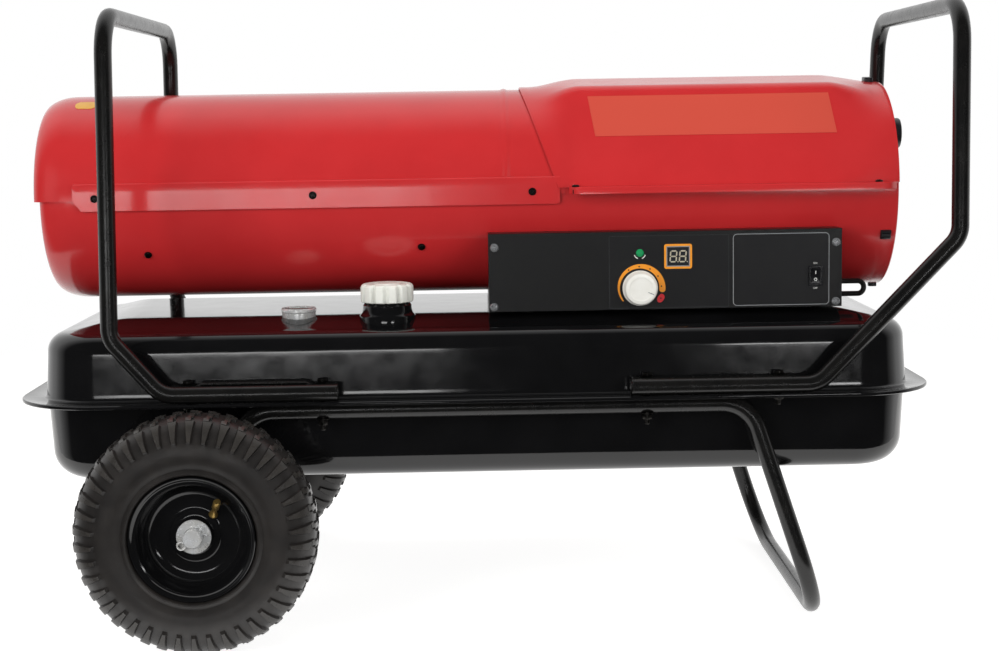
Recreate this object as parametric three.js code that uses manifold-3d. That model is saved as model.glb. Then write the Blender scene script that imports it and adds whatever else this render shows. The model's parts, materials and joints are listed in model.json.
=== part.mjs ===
// Portable forced air heater on two wheels. Millimetres, +Z up, floor at Z = 0.
// +X points to the air intake end, -X to the hot air outlet, -Y is the control side.
import * as THREE from 'three';
import { mergeVertices } from 'three/addons/utils/BufferGeometryUtils.js';
import Module from 'manifold-3d';

const wasm = await Module();
wasm.setup();

// ---- driving dimensions -------------------------------------------------------------------
const GAP = 0.3; // clearance between neighbouring pieces
const SHEET = 1.2; // barrel and tank sheet

const WHEEL_R = 130; // 260 x 85 pneumatic wheel
const TYRE_W = 85;
const TRACK = 506;
const WHEEL_X = -314.5;
const WHEEL_SIDES = 24;
const RIM_R = 67;
const RIM_LEDGE_R = 59.5;
const HUB_R = 19;
const HUB_L = 36;
const AXLE_R = 10;
const WASHER_R = 18.5;
const WASHER_T = 3;
const COTTER_R = 2;
const AXLE_END = 12; // axle beyond its washers
const DISH_H = 11.5; // floor of the rim's dish, from the wheel's middle
const VALVE = { x: 23, z: 31, length: 20 }; // place from the hub

const WHEEL_GAP = 24.5; // between a tyre and the tank
const TANK_LOW_Y = TRACK / 2 - TYRE_W / 2 - WHEEL_GAP; // half widths of the tank halves and flange
const TANK_Y = TANK_LOW_Y + 8;
const FLANGE_Y = TANK_Y + 33;

const SEAM_Z = 2 * WHEEL_R + 1.5; // joint between the tank halves, just above the tyres

const FRAME_TUBE_R = 9.5;
const FRAME_Y = TANK_LOW_Y + 13;
const FRAME_BEND = 42;
const AXLE_BOSS_R = 15;
const FRAME_FRONT_X = -262;
const AXLE_ARM_Y = TANK_LOW_Y + 2;
const BOSS_IN = 5.4; // axle boss, inwards from the middle of its arm
const LEG_X = 362;
const LEG_Y = TANK_LOW_Y + 29;
const LEG_LEAN = 0.32; // leg run in X for each unit of height
const FOOT_BEND = 75;
const LEG_FLAT = 0.9; // depth of the flat worn under the foot bar

const HANDLE_TUBE_R = 9.5;
const HANDLE_Y = FLANGE_Y - 9;
const HANDLE_BEND = 30;
const HANDLE_TOP_BEND = 45;
const STRIP_T = 2.5;
const STRIP_Z = SEAM_Z + 16.5; // underside of the fixing strips
const STRIP_Y = HANDLE_Y - 22; // inner edge of the fixing strips
const BOLT_Y = HANDLE_Y - 16;
const BOLT_R = 3;
const BOLT_HEAD_R = 5.8;
const BOLT_HEAD_T = 5;
const BOLT_TAIL = 12; // thread showing below what the bolt clamps
const FRONT_BOLTS = [-327, -181];
const REAR_BOLTS = [172.5, 316];

const TANK_X0 = -495.5;
const TANK_X1 = 470.5;
const TANK_R = 65;
const TANK_TOP_Z = SEAM_Z + 73.5;
const TANK_BOTTOM_Z = SEAM_Z - 91.5;
const TANK_TOP_ROUND = 22;
const TANK_BOTTOM_ROUND = 32;
const FLANGE_W = 27; // flange beyond the tank's outlet end
const FLANGE_REAR_W = 23.5; // and beyond its intake end

const CAP_X = -112;
const CAP_Y = 66 - TANK_Y;
const CAP_R = 29.7;
const CAP_H = 21;
const CAP_LOBES = 12;
const NECK_R = 22;
const NECK_H = 30;
const GAUGE_X = -213;
const GAUGE_Y = 82 - TANK_Y;
const GAUGE_R = 20;
const FLOAT_ARM = 120;
const FLOAT_R = 13;
const FLOAT_HALF = 22;
const FLOAT_PIN_R = 1.5;
const FLOAT_PIN_HALF = 6.5;
const FLOAT_DROP = 40; // degrees the arm hangs below level in an empty tank

const BARREL_R = 118.5; // outside of the hoods
const BARREL_Z = TANK_TOP_Z + 24 + BARREL_R;
const BARREL_TOP_Z = BARREL_Z + BARREL_R;
const FRONT_HANDLE = {
  end: -164.5,
  heel: -352.5,
  knee: -406.5,
  kneeZ: STRIP_Z + 56,
  top: -401.5,
  topZ: BARREL_TOP_Z + 83,
  lean: 8,
};
const REAR_HANDLE = {
  end: 155.5,
  heel: 356.5,
  knee: 508.5,
  kneeZ: STRIP_Z + 152,
  top: 513,
  topZ: BARREL_TOP_Z + 82,
  lean: 20,
};

const NOSE_X = -502.5;
const HOOD_NOSE_X = NOSE_X - 6; // the front hood reaches past the lower shell
const REAR_X = 466;
const NOSE_LIP_R = BARREL_R - 16.5;
const NOSE_CURL = 34;
const LAP_Z = BARREL_Z - 10.5; // lower edge of the front hood's lap strip
const SHELL_TOP_Z = BARREL_Z + 7; // upper edge of the lower shell
const LAP_END_X = 96; // front hood's rear end at the seam, under the rear hood
const HOOD_FRONT_X = 42; // rear hood's front edge on top
const HOOD_SLANT = 42; // how far that edge runs back down to the seam
const HOOD_RISE_X = 106;
const HOOD_FALL_X = 398;
const HOOD_CLEAR = 1.2; // rear hood's round ends over the duct
const HOOD_TOP_Z = BARREL_TOP_Z + 12;
const HOOD_FOLD_Y = BARREL_R - 48.5;
const HOOD_FOLD_Z = HOOD_TOP_Z - 11;
const HOOD_SIDE_Y = BARREL_R + 7.5;
const SIDE_FLANGE_Y = HOOD_SIDE_Y + 12;
const SIDE_FLANGE_X0 = 98;
const SIDE_FLANGE_X1 = 458;

const CHAMBER_R = BARREL_R - 26.5;
const CHAMBER_X0 = -480;
const CHAMBER_X1 = 20;
const BURNER_R = 48;
const BURNER_L = 55;
const BURNER_SLOTS = 6;
const MOTOR_R = 55;
const MOTOR_X0 = 232;
const MOTOR_X1 = 372;
const SHAFT_R = 6;
const FAN_X = 178;
const FAN_R = BARREL_R - 10.5;
const FAN_W = 26;
const FAN_BLADES = 6;
const PUMP_R = 46;
const PUMP_X1 = 428;
const GUARD_X = 457;
const GUARD_WIRE = 3;
const GUARD_RINGS = 3;
const GUARD_SPOKES = 8;
const PRESSURE_Y = -60;
const PRESSURE_Z = BARREL_Z + 61;
const PRESSURE_R = 17.5;

const BOX_X0 = 2.3;
const BOX_X1 = 397.3;
const BOX_Z0 = TANK_TOP_Z + 13;
const BOX_Z1 = BARREL_Z - 42;
const BOX_Y = BARREL_R + 20.5; // half depth of the base housing
const COVER_T = 1.6;
const KNOB_X = 171.2;
const KNOB_Z = BOX_Z0 + 24.3;
const KNOB_R = 19.7;
const KNOB_D = 16;
const KNOB_STEM_R = 3;
const LAMP_Z = BOX_Z0 + 63.5;
const LAMP_R = 4.5;
const DISPLAY = { x: 213.7, z: BOX_Z0 + 59.2, w: 31, h: 27.5 };
const SWITCH = { x: 367.4, z: BOX_Z0 + 34.8, w: 15.8, h: 22.3, depth: 20 };
const BOARD_Y = 13 - BOX_Y;
const RAIL_W = 36;
const RAIL_X = [42, 356];
const RAIL_Y = 105;
const HOSE_R = 3;
const HOSE = {
  y: 41 - BOX_Y,
  highZ: BOX_Z0 + 24,
  lowZ: BOX_Z0 + 9.5,
  reach: BOX_X1 + 33.7,
  bend: 7,
};

// ---- colours and finishes -----------------------------------------------------------------
const finish = (color, roughness, metalness = 0) =>
  new THREE.MeshStandardMaterial({ color, roughness, metalness });
const RED_PAINT = finish(0xc01822, 0.25);
const BLACK_PAINT = finish(0x121214, 0.22);
const BLACK_PLASTIC = finish(0x18181a, 0.5);
const WHITE_PLASTIC = finish(0xe8e6dc, 0.45);
const TYRE_RUBBER = finish(0x1b1a19, 0.8);
const ZINC = finish(0xc9ccd0, 0.3, 1);
const STAINLESS = finish(0x9a958c, 0.35, 1);
const ALUMINIUM = finish(0xb4b6b8, 0.45, 1);
const BRASS = finish(0xb8923e, 0.3, 1);
const LENS = finish(0x303236, 0.08);
const GREEN_LENS = finish(0x1f8f55, 0.2);
const BOARD_GREEN = finish(0x1d5b34, 0.5);
const NYLON = finish(0xd8d4c6, 0.5);
const CERAMIC = finish(0xefe9dd, 0.35);

// ---- geometry helpers ---------------------------------------------------------------------
const TUBE_SIDES = 10; // sides of a bent frame tube
const HEX = 6; // sides of a nut or bolt head
const AXIS_X = new THREE.Matrix4().set(0, 0, 1, 0, 1, 0, 0, 0, 0, 1, 0, 0, 0, 0, 0, 1);
const AXIS_Y = new THREE.Matrix4().set(1, 0, 0, 0, 0, 0, -1, 0, 0, 1, 0, 0, 0, 0, 0, 1);

// Signed volume times six: negative when an outline was drawn the other way round.
function windingOf(positions, faces) {
  const [a, b, c] = [new THREE.Vector3(), new THREE.Vector3(), new THREE.Vector3()];
  let sum = 0;
  for (let i = 0; i < faces.length; i += 3) {
    a.fromArray(positions, faces[i] * 3);
    b.fromArray(positions, faces[i + 1] * 3);
    c.fromArray(positions, faces[i + 2] * 3);
    sum += a.dot(b.cross(c));
  }
  return sum;
}

function solid(geometry) {
  const bare = new THREE.BufferGeometry();
  bare.setAttribute('position', geometry.getAttribute('position').clone());
  if (geometry.index) bare.setIndex(geometry.index.clone());
  const merged = mergeVertices(bare, 1e-4);
  const vertProperties = new Float32Array(merged.getAttribute('position').array);
  const triVerts = new Uint32Array(merged.index.array);
  if (windingOf(vertProperties, triVerts) < 0) triVerts.reverse();
  const mesh = new wasm.Mesh({ numProp: 3, vertProperties, triVerts });
  mesh.merge();
  return new wasm.Manifold(mesh);
}

function toGeometry(manifold) {
  const mesh = manifold.getMesh();
  const geometry = new THREE.BufferGeometry();
  geometry.setAttribute('position', new THREE.BufferAttribute(new Float32Array(mesh.vertProperties), 3));
  geometry.setIndex(new THREE.BufferAttribute(new Uint32Array(mesh.triVerts), 1));
  geometry.computeVertexNormals();
  return geometry;
}

const joined = (...pieces) => pieces.reduce((sum, piece) => sum.add(piece));

function box(x0, x1, y0, y1, z0, z1) {
  const geometry = new THREE.BoxGeometry(x1 - x0, y1 - y0, z1 - z0);
  geometry.translate((x0 + x1) / 2, (y0 + y1) / 2, (z0 + z1) / 2);
  return solid(geometry);
}

// Sides of a round piece: enough for its radius.
const facets = (r) => (r < 5 ? 8 : r < 15 ? 12 : 18);

// Discs and rods: start and end along the named axis, centre in the other two.
function rodX(r, x0, x1, y, z, sides = facets(r)) {
  const geometry = new THREE.CylinderGeometry(r, r, x1 - x0, sides);
  geometry.rotateZ(Math.PI / 2).translate((x0 + x1) / 2, y, z);
  return solid(geometry);
}

function rodY(r, y0, y1, x, z, sides = facets(r)) {
  const geometry = new THREE.CylinderGeometry(r, r, y1 - y0, sides);
  geometry.translate(x, (y0 + y1) / 2, z);
  return solid(geometry);
}

function rodZ(r, z0, z1, x, y, sides = facets(r)) {
  const geometry = new THREE.CylinderGeometry(r, r, z1 - z0, sides);
  geometry.rotateX(Math.PI / 2).translate(x, y, (z0 + z1) / 2);
  return solid(geometry);
}

// Round holes: their flats, not their corners, stand at the given radius.
const ream = (r, sides = facets(r)) => r / Math.cos(Math.PI / sides);
const boreX = (r, x0, x1, y, z, sides = facets(r)) => rodX(ream(r, sides), x0, x1, y, z, sides);
const boreY = (r, y0, y1, x, z, sides = facets(r)) => rodY(ream(r, sides), y0, y1, x, z, sides);
const boreZ = (r, z0, z1, x, y, sides = facets(r)) => rodZ(ream(r, sides), z0, z1, x, y, sides);

function shapeOf(points) {
  return new THREE.Shape(points.map(([u, v]) => new THREE.Vector2(u, v)));
}

function prism(points, depth) {
  return new THREE.ExtrudeGeometry(shapeOf(points), { depth, bevelEnabled: false });
}

// (y, z) outline swept along X, and (x, z) outline swept along Y.
function prismX(points, x0, x1) {
  return solid(prism(points, x1 - x0).applyMatrix4(AXIS_X).translate(x0, 0, 0));
}

function prismY(points, y0, y1) {
  return solid(prism(points, y1 - y0).applyMatrix4(AXIS_Y).translate(0, y1, 0));
}

// A turned piece from its closed (radius, height) profile.
function turned(profile, sides, phase = 0) {
  const points = [...profile, profile[0]].map(([r, h]) => new THREE.Vector2(r, h));
  return new THREE.LatheGeometry(points, sides, phase);
}

const turnedX = (profile, sides) =>
  solid(turned(profile, sides).rotateZ(-Math.PI / 2).translate(0, 0, BARREL_Z));
const turnedZ = (profile, x, y, sides) =>
  solid(turned(profile, sides).rotateX(Math.PI / 2).translate(x, y, 0));

// A bar or tube bent at its corners: rings stand only where the tube starts, bends and ends.
class BentPath extends THREE.Curve {
  constructor(points) {
    super();
    this.points = points;
  }

  getPoint(t) {
    return this.points[Math.round(t * (this.points.length - 1))].clone();
  }

  getPointAt(u) {
    return this.getPoint(u);
  }

  getTangentAt(u) {
    const i = Math.round(u * (this.points.length - 1));
    const before = this.points[Math.max(i - 1, 0)];
    const after = this.points[Math.min(i + 1, this.points.length - 1)];
    return after.clone().sub(before).normalize();
  }
}

function bent(corners, radii, steps = 3) {
  const at = corners.map((c) => new THREE.Vector3(...c));
  const path = [at[0]];
  for (let i = 1; i < at.length - 1; i++) {
    const back = at[i - 1].clone().sub(at[i]).normalize();
    const ahead = at[i + 1].clone().sub(at[i]).normalize();
    const half = back.angleTo(ahead) / 2;
    const run = radii[i - 1] / Math.tan(half);
    const start = at[i].clone().addScaledVector(back, run);
    const reach = radii[i - 1] / Math.sin(half);
    const centre = back.clone().add(ahead).normalize().multiplyScalar(reach).add(at[i]);
    const out = start.clone().sub(centre);
    const along = back.clone().multiplyScalar(-radii[i - 1]);
    const turn = Math.PI - 2 * half;
    for (let k = 0; k <= steps; k++) {
      const angle = (turn * k) / steps;
      const arc = centre.clone().addScaledVector(out, Math.cos(angle));
      path.push(arc.addScaledVector(along, Math.sin(angle)));
    }
  }
  path.push(at[at.length - 1]);
  return path;
}

function bar(path, r, sides = 12) {
  const ring = new THREE.Shape();
  for (let k = 0; k < sides; k++) {
    const a = (2 * Math.PI * k) / sides;
    if (k === 0) ring.moveTo(r * Math.cos(a), r * Math.sin(a));
    else ring.lineTo(r * Math.cos(a), r * Math.sin(a));
  }
  const settings = { steps: path.length - 1, extrudePath: new BentPath(path), bevelEnabled: false };
  return solid(new THREE.ExtrudeGeometry(ring, settings));
}

// A closed solid through rings that all have the same number of points.
function loft(rings) {
  const count = rings[0].length;
  const points = rings.flat().flatMap((p) => [p.x, p.y, p.z]);
  const faces = [];
  for (let s = 0; s < rings.length - 1; s++) {
    for (let k = 0; k < count; k++) {
      const a = s * count + k;
      const b = s * count + ((k + 1) % count);
      faces.push(a, b, b + count, a, b + count, a + count);
    }
  }
  const cap = THREE.ShapeUtils.triangulateShape(rings[0].map((p) => p.flat), []);
  const last = (rings.length - 1) * count;
  for (const [a, b, c] of cap) {
    faces.push(c, b, a);
    faces.push(last + a, last + b, last + c);
  }
  const geometry = new THREE.BufferGeometry();
  geometry.setAttribute('position', new THREE.Float32BufferAttribute(points, 3));
  geometry.setIndex(faces);
  return solid(geometry);
}

// Rounded rectangle in plan, at one height.
function planRing(x0, x1, halfY, radius, z, steps = 4) {
  const ring = [];
  const middle = (x0 + x1) / 2;
  const corners = [[x1, halfY], [x0, halfY], [x0, -halfY], [x1, -halfY]];
  corners.forEach(([cx, cy], quarter) => {
    const px = cx - Math.sign(cx - middle) * radius;
    const py = cy - Math.sign(cy) * radius;
    for (let k = 0; k <= steps; k++) {
      const a = (Math.PI / 2) * (quarter + k / steps);
      const p = new THREE.Vector3(px + radius * Math.cos(a), py + radius * Math.sin(a), z);
      p.flat = new THREE.Vector2(p.x, p.y);
      ring.push(p);
    }
  });
  return ring;
}

const heater = new THREE.Group();
heater.name = 'forced_air_heater';

function add(name, body, material) {
  const geometry = toGeometry(body);
  geometry.computeBoundingBox();
  const centre = geometry.boundingBox.getCenter(new THREE.Vector3());
  geometry.translate(-centre.x, -centre.y, -centre.z);
  const mesh = new THREE.Mesh(geometry, material);
  mesh.name = name;
  mesh.position.copy(centre);
  heater.add(mesh);
}

const SIDES = [['near', -1], ['far', 1]];

// ---- wheels and axle ----------------------------------------------------------------------
const FACET = 1 / Math.cos(Math.PI / WHEEL_SIDES); // corner radius for a given flat radius

function wheelPiece(profile, side, sides = WHEEL_SIDES) {
  const geometry = turned(profile, sides, Math.PI / sides);
  return solid(geometry.translate(WHEEL_X, (side * TRACK) / 2, WHEEL_R));
}

function tyre(side) {
  const w = TYRE_W / 2;
  const tread = [[WHEEL_R, 20], [WHEEL_R - 4, 29], [WHEEL_R - 16, w - 4], [WHEEL_R - 34, w]];
  const wall = [[RIM_R + 7, w - 4], [RIM_R + GAP, w - 9.5]];
  const inner = [[RIM_R + GAP, w - 18], [RIM_R + 12, w - 12], [WHEEL_R - 30, w - 6], [WHEEL_R - 12, 18]];
  const right = [...tread, ...wall, ...inner];
  const left = right.map(([r, h]) => [r, -h]).reverse();
  const profile = [...right, ...left].map(([r, h]) => [r * FACET, h]);
  return wheelPiece(profile, side);
}

// One pressed rim: bead seats outside, a dish each side, and the hub tube in the middle.
function rim(side) {
  const w = TYRE_W / 2;
  const hub = HUB_L / 2;
  const bore = AXLE_R + BUSH_WALL + GAP;
  const right = [
    [HUB_R, hub], [HUB_R, hub - 3], [HUB_R + 5, DISH_H],
    [RIM_LEDGE_R - 15, DISH_H], [RIM_LEDGE_R - 4, w - 14],
    [RIM_LEDGE_R, w - 7], [RIM_R - 1, w - 4], [RIM_R, w - 9], [RIM_R, w - 19], [RIM_R - 4, w - 24],
  ];
  const left = right.map(([r, h]) => [r, -h]).reverse();
  const profile = [[bore, hub], ...right, ...left, [bore, -hub]];
  return wheelPiece(profile.reverse(), side);
}

const BUSH_SIDES = 12;
const BUSH_WALL = 4;
const BUSH_FLANGE = 2;

function hubBush(side) {
  const end = HUB_L / 2 + GAP + BUSH_FLANGE;
  const seat = GAP - end + BUSH_FLANGE;
  const bore = ream(AXLE_R + GAP, BUSH_SIDES);
  const outer = AXLE_R + BUSH_WALL;
  const sleeve = [
    [bore, -end], [outer + 3, -end], [outer + 3, seat],
    [outer, seat], [outer, end], [bore, end],
  ];
  return wheelPiece(sleeve, side, BUSH_SIDES);
}

const HUB_END = TRACK / 2 + HUB_L / 2 + BUSH_FLANGE + 2 * GAP; // outer face of the bush, plus clearance
const AXLE_HALF = HUB_END + WASHER_T + AXLE_END;
const COTTER_EYE = 4;
const COTTER_Y = HUB_END + WASHER_T + GAP + COTTER_R;

function washer(side) {
  const y0 = side > 0 ? HUB_END : -HUB_END - WASHER_T;
  return rodY(WASHER_R, y0, y0 + WASHER_T, WHEEL_X, WHEEL_R)
    .subtract(boreY(AXLE_R + GAP, y0 - 1, y0 + WASHER_T + 1, WHEEL_X, WHEEL_R));
}

// Split pin: a straight shank through the axle with a ring eye above it.
function cotterPin(side) {
  const y = side * COTTER_Y;
  const shank = rodZ(COTTER_R - GAP, WHEEL_R - 16, WHEEL_R + 14, WHEEL_X, y);
  const eye = new THREE.TorusGeometry(COTTER_EYE, COTTER_R - GAP, 5, 10);
  return shank.add(solid(eye.rotateX(Math.PI / 2).translate(WHEEL_X, y, WHEEL_R + 17)));
}

function valve(side) {
  const foot = side * (TRACK / 2 + DISH_H + GAP);
  const part = (r, from, to) => {
    const ends = [foot + side * from, foot + side * to].sort((a, b) => a - b);
    return rodY(r, ends[0], ends[1], WHEEL_X + VALVE.x, WHEEL_R + VALVE.z);
  };
  return part(2.8, 0, VALVE.length - 8).add(part(3.8, VALVE.length - 9, VALVE.length));
}

for (const [where, side] of SIDES) {
  add(`${where}_tyre`, tyre(side), TYRE_RUBBER);
  add(`${where}_rim`, rim(side), BLACK_PAINT);
  add(`${where}_hub_bush`, hubBush(side), NYLON);
  add(`${where}_tyre_valve`, valve(side), BRASS);
  add(`${where}_wheel_washer`, washer(side), ZINC);
  add(`${where}_cotter_pin`, cotterPin(side), ZINC);
}

function axle() {
  let body = rodY(AXLE_R, -AXLE_HALF, AXLE_HALF, WHEEL_X, WHEEL_R);
  for (const side of [-1, 1]) {
    body = body.subtract(boreZ(COTTER_R, 0, 2 * WHEEL_R, WHEEL_X, side * COTTER_Y));
  }
  return body;
}
add('axle', axle(), ZINC);

// ---- base frame ---------------------------------------------------------------------------
const FLANGE_LOW_Z = SEAM_Z - SHEET; // underside of the tank flange
const FLANGE_TOP_Z = SEAM_Z + SHEET;
const FRAME_Z = FLANGE_LOW_Z - GAP - FRAME_TUBE_R;
const FOOT_Z = FRAME_TUBE_R - LEG_FLAT;

const ARM_END = { x: WHEEL_X - 5.25, z: WHEEL_R - 12 }; // just past the axle

function baseFrame() {
  const heelX = LEG_X - LEG_LEAN * (FRAME_Z - FOOT_Z);
  const half = (s) => [
    [ARM_END.x, s * AXLE_ARM_Y, ARM_END.z],
    [FRAME_FRONT_X, s * FRAME_Y, FRAME_Z],
    [heelX, s * FRAME_Y, FRAME_Z],
    [LEG_X, s * LEG_Y, FOOT_Z],
  ];
  const corners = [...half(-1), ...half(1).reverse()];
  const bends = [FRAME_BEND, FRAME_BEND, FOOT_BEND, FOOT_BEND, FRAME_BEND, FRAME_BEND];
  let body = bar(bent(corners, bends), FRAME_TUBE_R, TUBE_SIDES);
  const bossEnd = TRACK / 2 - HUB_L / 2 - BUSH_FLANGE - 2 * GAP;
  for (const side of [-1, 1]) {
    const y = [side * (AXLE_ARM_Y - BOSS_IN), side * bossEnd].sort((a, b) => a - b);
    body = body.add(rodY(AXLE_BOSS_R, ...y, WHEEL_X, WHEEL_R));
  }
  body = body.subtract(boreY(AXLE_R + GAP, -TRACK, TRACK, WHEEL_X, WHEEL_R));
  for (const x of [FRONT_BOLTS[1], REAR_BOLTS[0]]) {
    for (const side of [-1, 1]) {
      body = body.subtract(boreZ(BOLT_R + GAP, FRAME_Z - 20, FRAME_Z + 20, x, side * BOLT_Y));
    }
  }
  return body.subtract(box(LEG_X - 60, LEG_X + 60, -FRAME_Y, FRAME_Y, -20, 0));
}
add('base_frame', baseFrame(), BLACK_PAINT);

// ---- push handles and their bolts ---------------------------------------------------------
const HANDLE_Z = FLANGE_TOP_Z + GAP + HANDLE_TUBE_R;

function handle(h, bolts) {
  const half = (s) => [
    [h.end, s * HANDLE_Y, HANDLE_Z],
    [h.heel, s * HANDLE_Y, HANDLE_Z],
    [h.knee, s * HANDLE_Y, h.kneeZ],
    [h.top, s * (HANDLE_Y - h.lean), h.topZ],
  ];
  const corners = [...half(-1), ...half(1).reverse()];
  const radii = [HANDLE_BEND, HANDLE_BEND, HANDLE_TOP_BEND, HANDLE_TOP_BEND, HANDLE_BEND, HANDLE_BEND];
  let body = bar(bent(corners, radii), HANDLE_TUBE_R, TUBE_SIDES);
  const x0 = Math.min(...bolts) - 16;
  const x1 = Math.max(...bolts) + 16;
  for (const s of [-1, 1]) {
    const y = [s * STRIP_Y, s * (HANDLE_Y - 4)].sort((a, b) => a - b);
    body = body.add(box(x0, x1, y[0], y[1], STRIP_Z, STRIP_Z + STRIP_T));
    for (const x of bolts) {
      const low = FLANGE_TOP_Z + GAP;
      const sleeve = rodZ(BOLT_R + 2.6, low, STRIP_Z + 1, x, s * BOLT_Y);
      body = body.add(sleeve).subtract(boreZ(BOLT_R + GAP, low - 5, STRIP_Z + 20, x, s * BOLT_Y));
    }
  }
  return body;
}
add('front_handle', handle(FRONT_HANDLE, FRONT_BOLTS), BLACK_PAINT);
add('rear_handle', handle(REAR_HANDLE, REAR_BOLTS), BLACK_PAINT);

function handleBolt(x, side, low) {
  const seat = STRIP_Z + STRIP_T + GAP;
  const head = rodZ(BOLT_HEAD_R, seat, seat + BOLT_HEAD_T, x, side * BOLT_Y, HEX);
  return head.add(rodZ(BOLT_R, low - BOLT_TAIL, seat + 1, x, side * BOLT_Y));
}

for (const [where, side] of SIDES) {
  const underFrame = FRAME_Z - FRAME_TUBE_R;
  const places = [
    ['front_outer', FRONT_BOLTS[0], FLANGE_LOW_Z],
    ['front_inner', FRONT_BOLTS[1], underFrame],
    ['rear_inner', REAR_BOLTS[0], underFrame],
    ['rear_outer', REAR_BOLTS[1], FLANGE_LOW_Z],
  ];
  for (const [place, x, low] of places) add(`${where}_${place}_bolt`, handleBolt(x, side, low), ZINC);
}

// ---- fuel tank ----------------------------------------------------------------------------
// Half of the pressed tank: draft on the walls, then a round turn onto the flat top or bottom.
function tankHalf(halfY, seamZ, farZ, round, wall) {
  const up = Math.sign(farZ - seamZ);
  const draft = 3;
  const rings = [];
  const ringAt = (inset, z) =>
    planRing(
      TANK_X0 + wall + inset,
      TANK_X1 - wall - inset,
      halfY - wall - inset,
      TANK_R - wall - inset / 2,
      z,
    );
  const end = farZ - up * wall;
  rings.push(ringAt(0, wall ? seamZ - up * 2 : seamZ));
  const turns = 3;
  for (let k = 0; k <= turns; k++) {
    const a = (Math.PI / 2) * (k / turns);
    const r = round - wall;
    rings.push(ringAt(draft + r * (1 - Math.cos(a)), end - up * r * (1 - Math.sin(a))));
  }
  return loft(up > 0 ? rings : rings.reverse());
}

function flangePlate(z0, z1) {
  const ring = (z) =>
    planRing(TANK_X0 - FLANGE_W, TANK_X1 + FLANGE_REAR_W, FLANGE_Y, TANK_R + 12, z);
  let plate = loft([ring(z0), ring(z1)]);
  for (const x of [...FRONT_BOLTS, ...REAR_BOLTS]) {
    for (const side of [-1, 1]) {
      plate = plate.subtract(boreZ(BOLT_R + GAP, z0 - 1, z1 + 1, x, side * BOLT_Y));
    }
  }
  return plate;
}

function tankUpper() {
  const low = SEAM_Z + GAP / 2;
  const shell = flangePlate(low, FLANGE_TOP_Z).add(tankHalf(TANK_Y, low, TANK_TOP_Z, TANK_TOP_ROUND, 0));
  return shell
    .subtract(tankHalf(TANK_Y, low, TANK_TOP_Z, TANK_TOP_ROUND, SHEET))
    .subtract(boreZ(NECK_R + GAP, TANK_TOP_Z - 10, TANK_TOP_Z + 10, CAP_X, CAP_Y))
    .subtract(boreZ(GAUGE_R - 4 + GAP, TANK_TOP_Z - 10, TANK_TOP_Z + 10, GAUGE_X, GAUGE_Y));
}

const DRAIN = { x: -60, y: -60, r: 9 };

function tankLower() {
  const high = SEAM_Z - GAP / 2;
  const bowl = tankHalf(TANK_LOW_Y, high, TANK_BOTTOM_Z, TANK_BOTTOM_ROUND, 0);
  const shell = flangePlate(FLANGE_LOW_Z, high).add(bowl);
  return shell
    .subtract(tankHalf(TANK_LOW_Y, high, TANK_BOTTOM_Z, TANK_BOTTOM_ROUND, SHEET))
    .subtract(boreZ(DRAIN.r + GAP, TANK_BOTTOM_Z - 10, TANK_BOTTOM_Z + 10, DRAIN.x, DRAIN.y));
}
add('tank_upper', tankUpper(), BLACK_PAINT);
add('tank_lower', tankLower(), BLACK_PAINT);

function drainPlug() {
  const z = TANK_BOTTOM_Z - GAP;
  const head = rodZ(DRAIN.r + 4, z - 8, z, DRAIN.x, DRAIN.y, HEX);
  return head.add(rodZ(DRAIN.r, z - 1, z + 10, DRAIN.x, DRAIN.y));
}
add('drain_plug', drainPlug(), ZINC);

const NECK_SIDES = 16;

// Neck pressed through the tank top, with a rolled rim that the cap closes on.
function fillerNeck() {
  const z0 = TANK_TOP_Z + GAP;
  const profile = [
    [NECK_R - SHEET, z0 - 14], [NECK_R, z0 - 14], [NECK_R, z0], [NECK_R + 7, z0], [NECK_R + 5, z0 + 4],
    [NECK_R, z0 + 6], [NECK_R, z0 + NECK_H - 2], [NECK_R + 2, z0 + NECK_H], [NECK_R - SHEET, z0 + NECK_H],
  ];
  return turnedZ(profile, CAP_X, CAP_Y, NECK_SIDES);
}
add('filler_neck', fillerNeck(), BLACK_PAINT);

const STRAINER_L = 76;

function strainer() {
  const top = TANK_TOP_Z + GAP + NECK_H + GAP;
  const r = (NECK_R - SHEET) * Math.cos(Math.PI / NECK_SIDES) - GAP;
  const profile = [
    [0, top - STRAINER_L], [r - 3, top - STRAINER_L], [r, top], [NECK_R + 2, top], [NECK_R + 2, top + 1],
    [r - 1, top + 1], [r - 4, top - STRAINER_L + 1], [0, top - STRAINER_L + 1],
  ];
  const points = profile.map(([a, b]) => new THREE.Vector2(a, b));
  const cup = new THREE.LatheGeometry(points, 16);
  return solid(cup.rotateX(Math.PI / 2).translate(CAP_X, CAP_Y, 0));
}
add('fuel_strainer', strainer(), NYLON);

// Lobed screw cap, hollow below so that it goes over the neck's rim.
function fuelCap() {
  const z0 = TANK_TOP_Z + NECK_H - 4;
  const lobes = [];
  for (let k = 0; k < CAP_LOBES * 3; k++) {
    const a = (2 * Math.PI * k) / (CAP_LOBES * 3);
    const r = CAP_R - (k % 3 === 0 ? 1.8 : 0);
    lobes.push([CAP_X + r * Math.cos(a), CAP_Y + r * Math.sin(a)]);
  }
  const outer = solid(prism(lobes, CAP_H).translate(0, 0, z0));
  const inner = rodZ(NECK_R + 3, z0 - 1, TANK_TOP_Z + GAP + NECK_H + GAP + 1 + GAP, CAP_X, CAP_Y);
  return outer.subtract(inner);
}
add('fuel_cap', fuelCap(), WHITE_PLASTIC);

// Level gauge: body let into the tank top, glass in its rim, float arm pivoted under it.
const GAUGE_TOP = TANK_TOP_Z + 19;
const GAUGE_STEM = 34;

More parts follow.
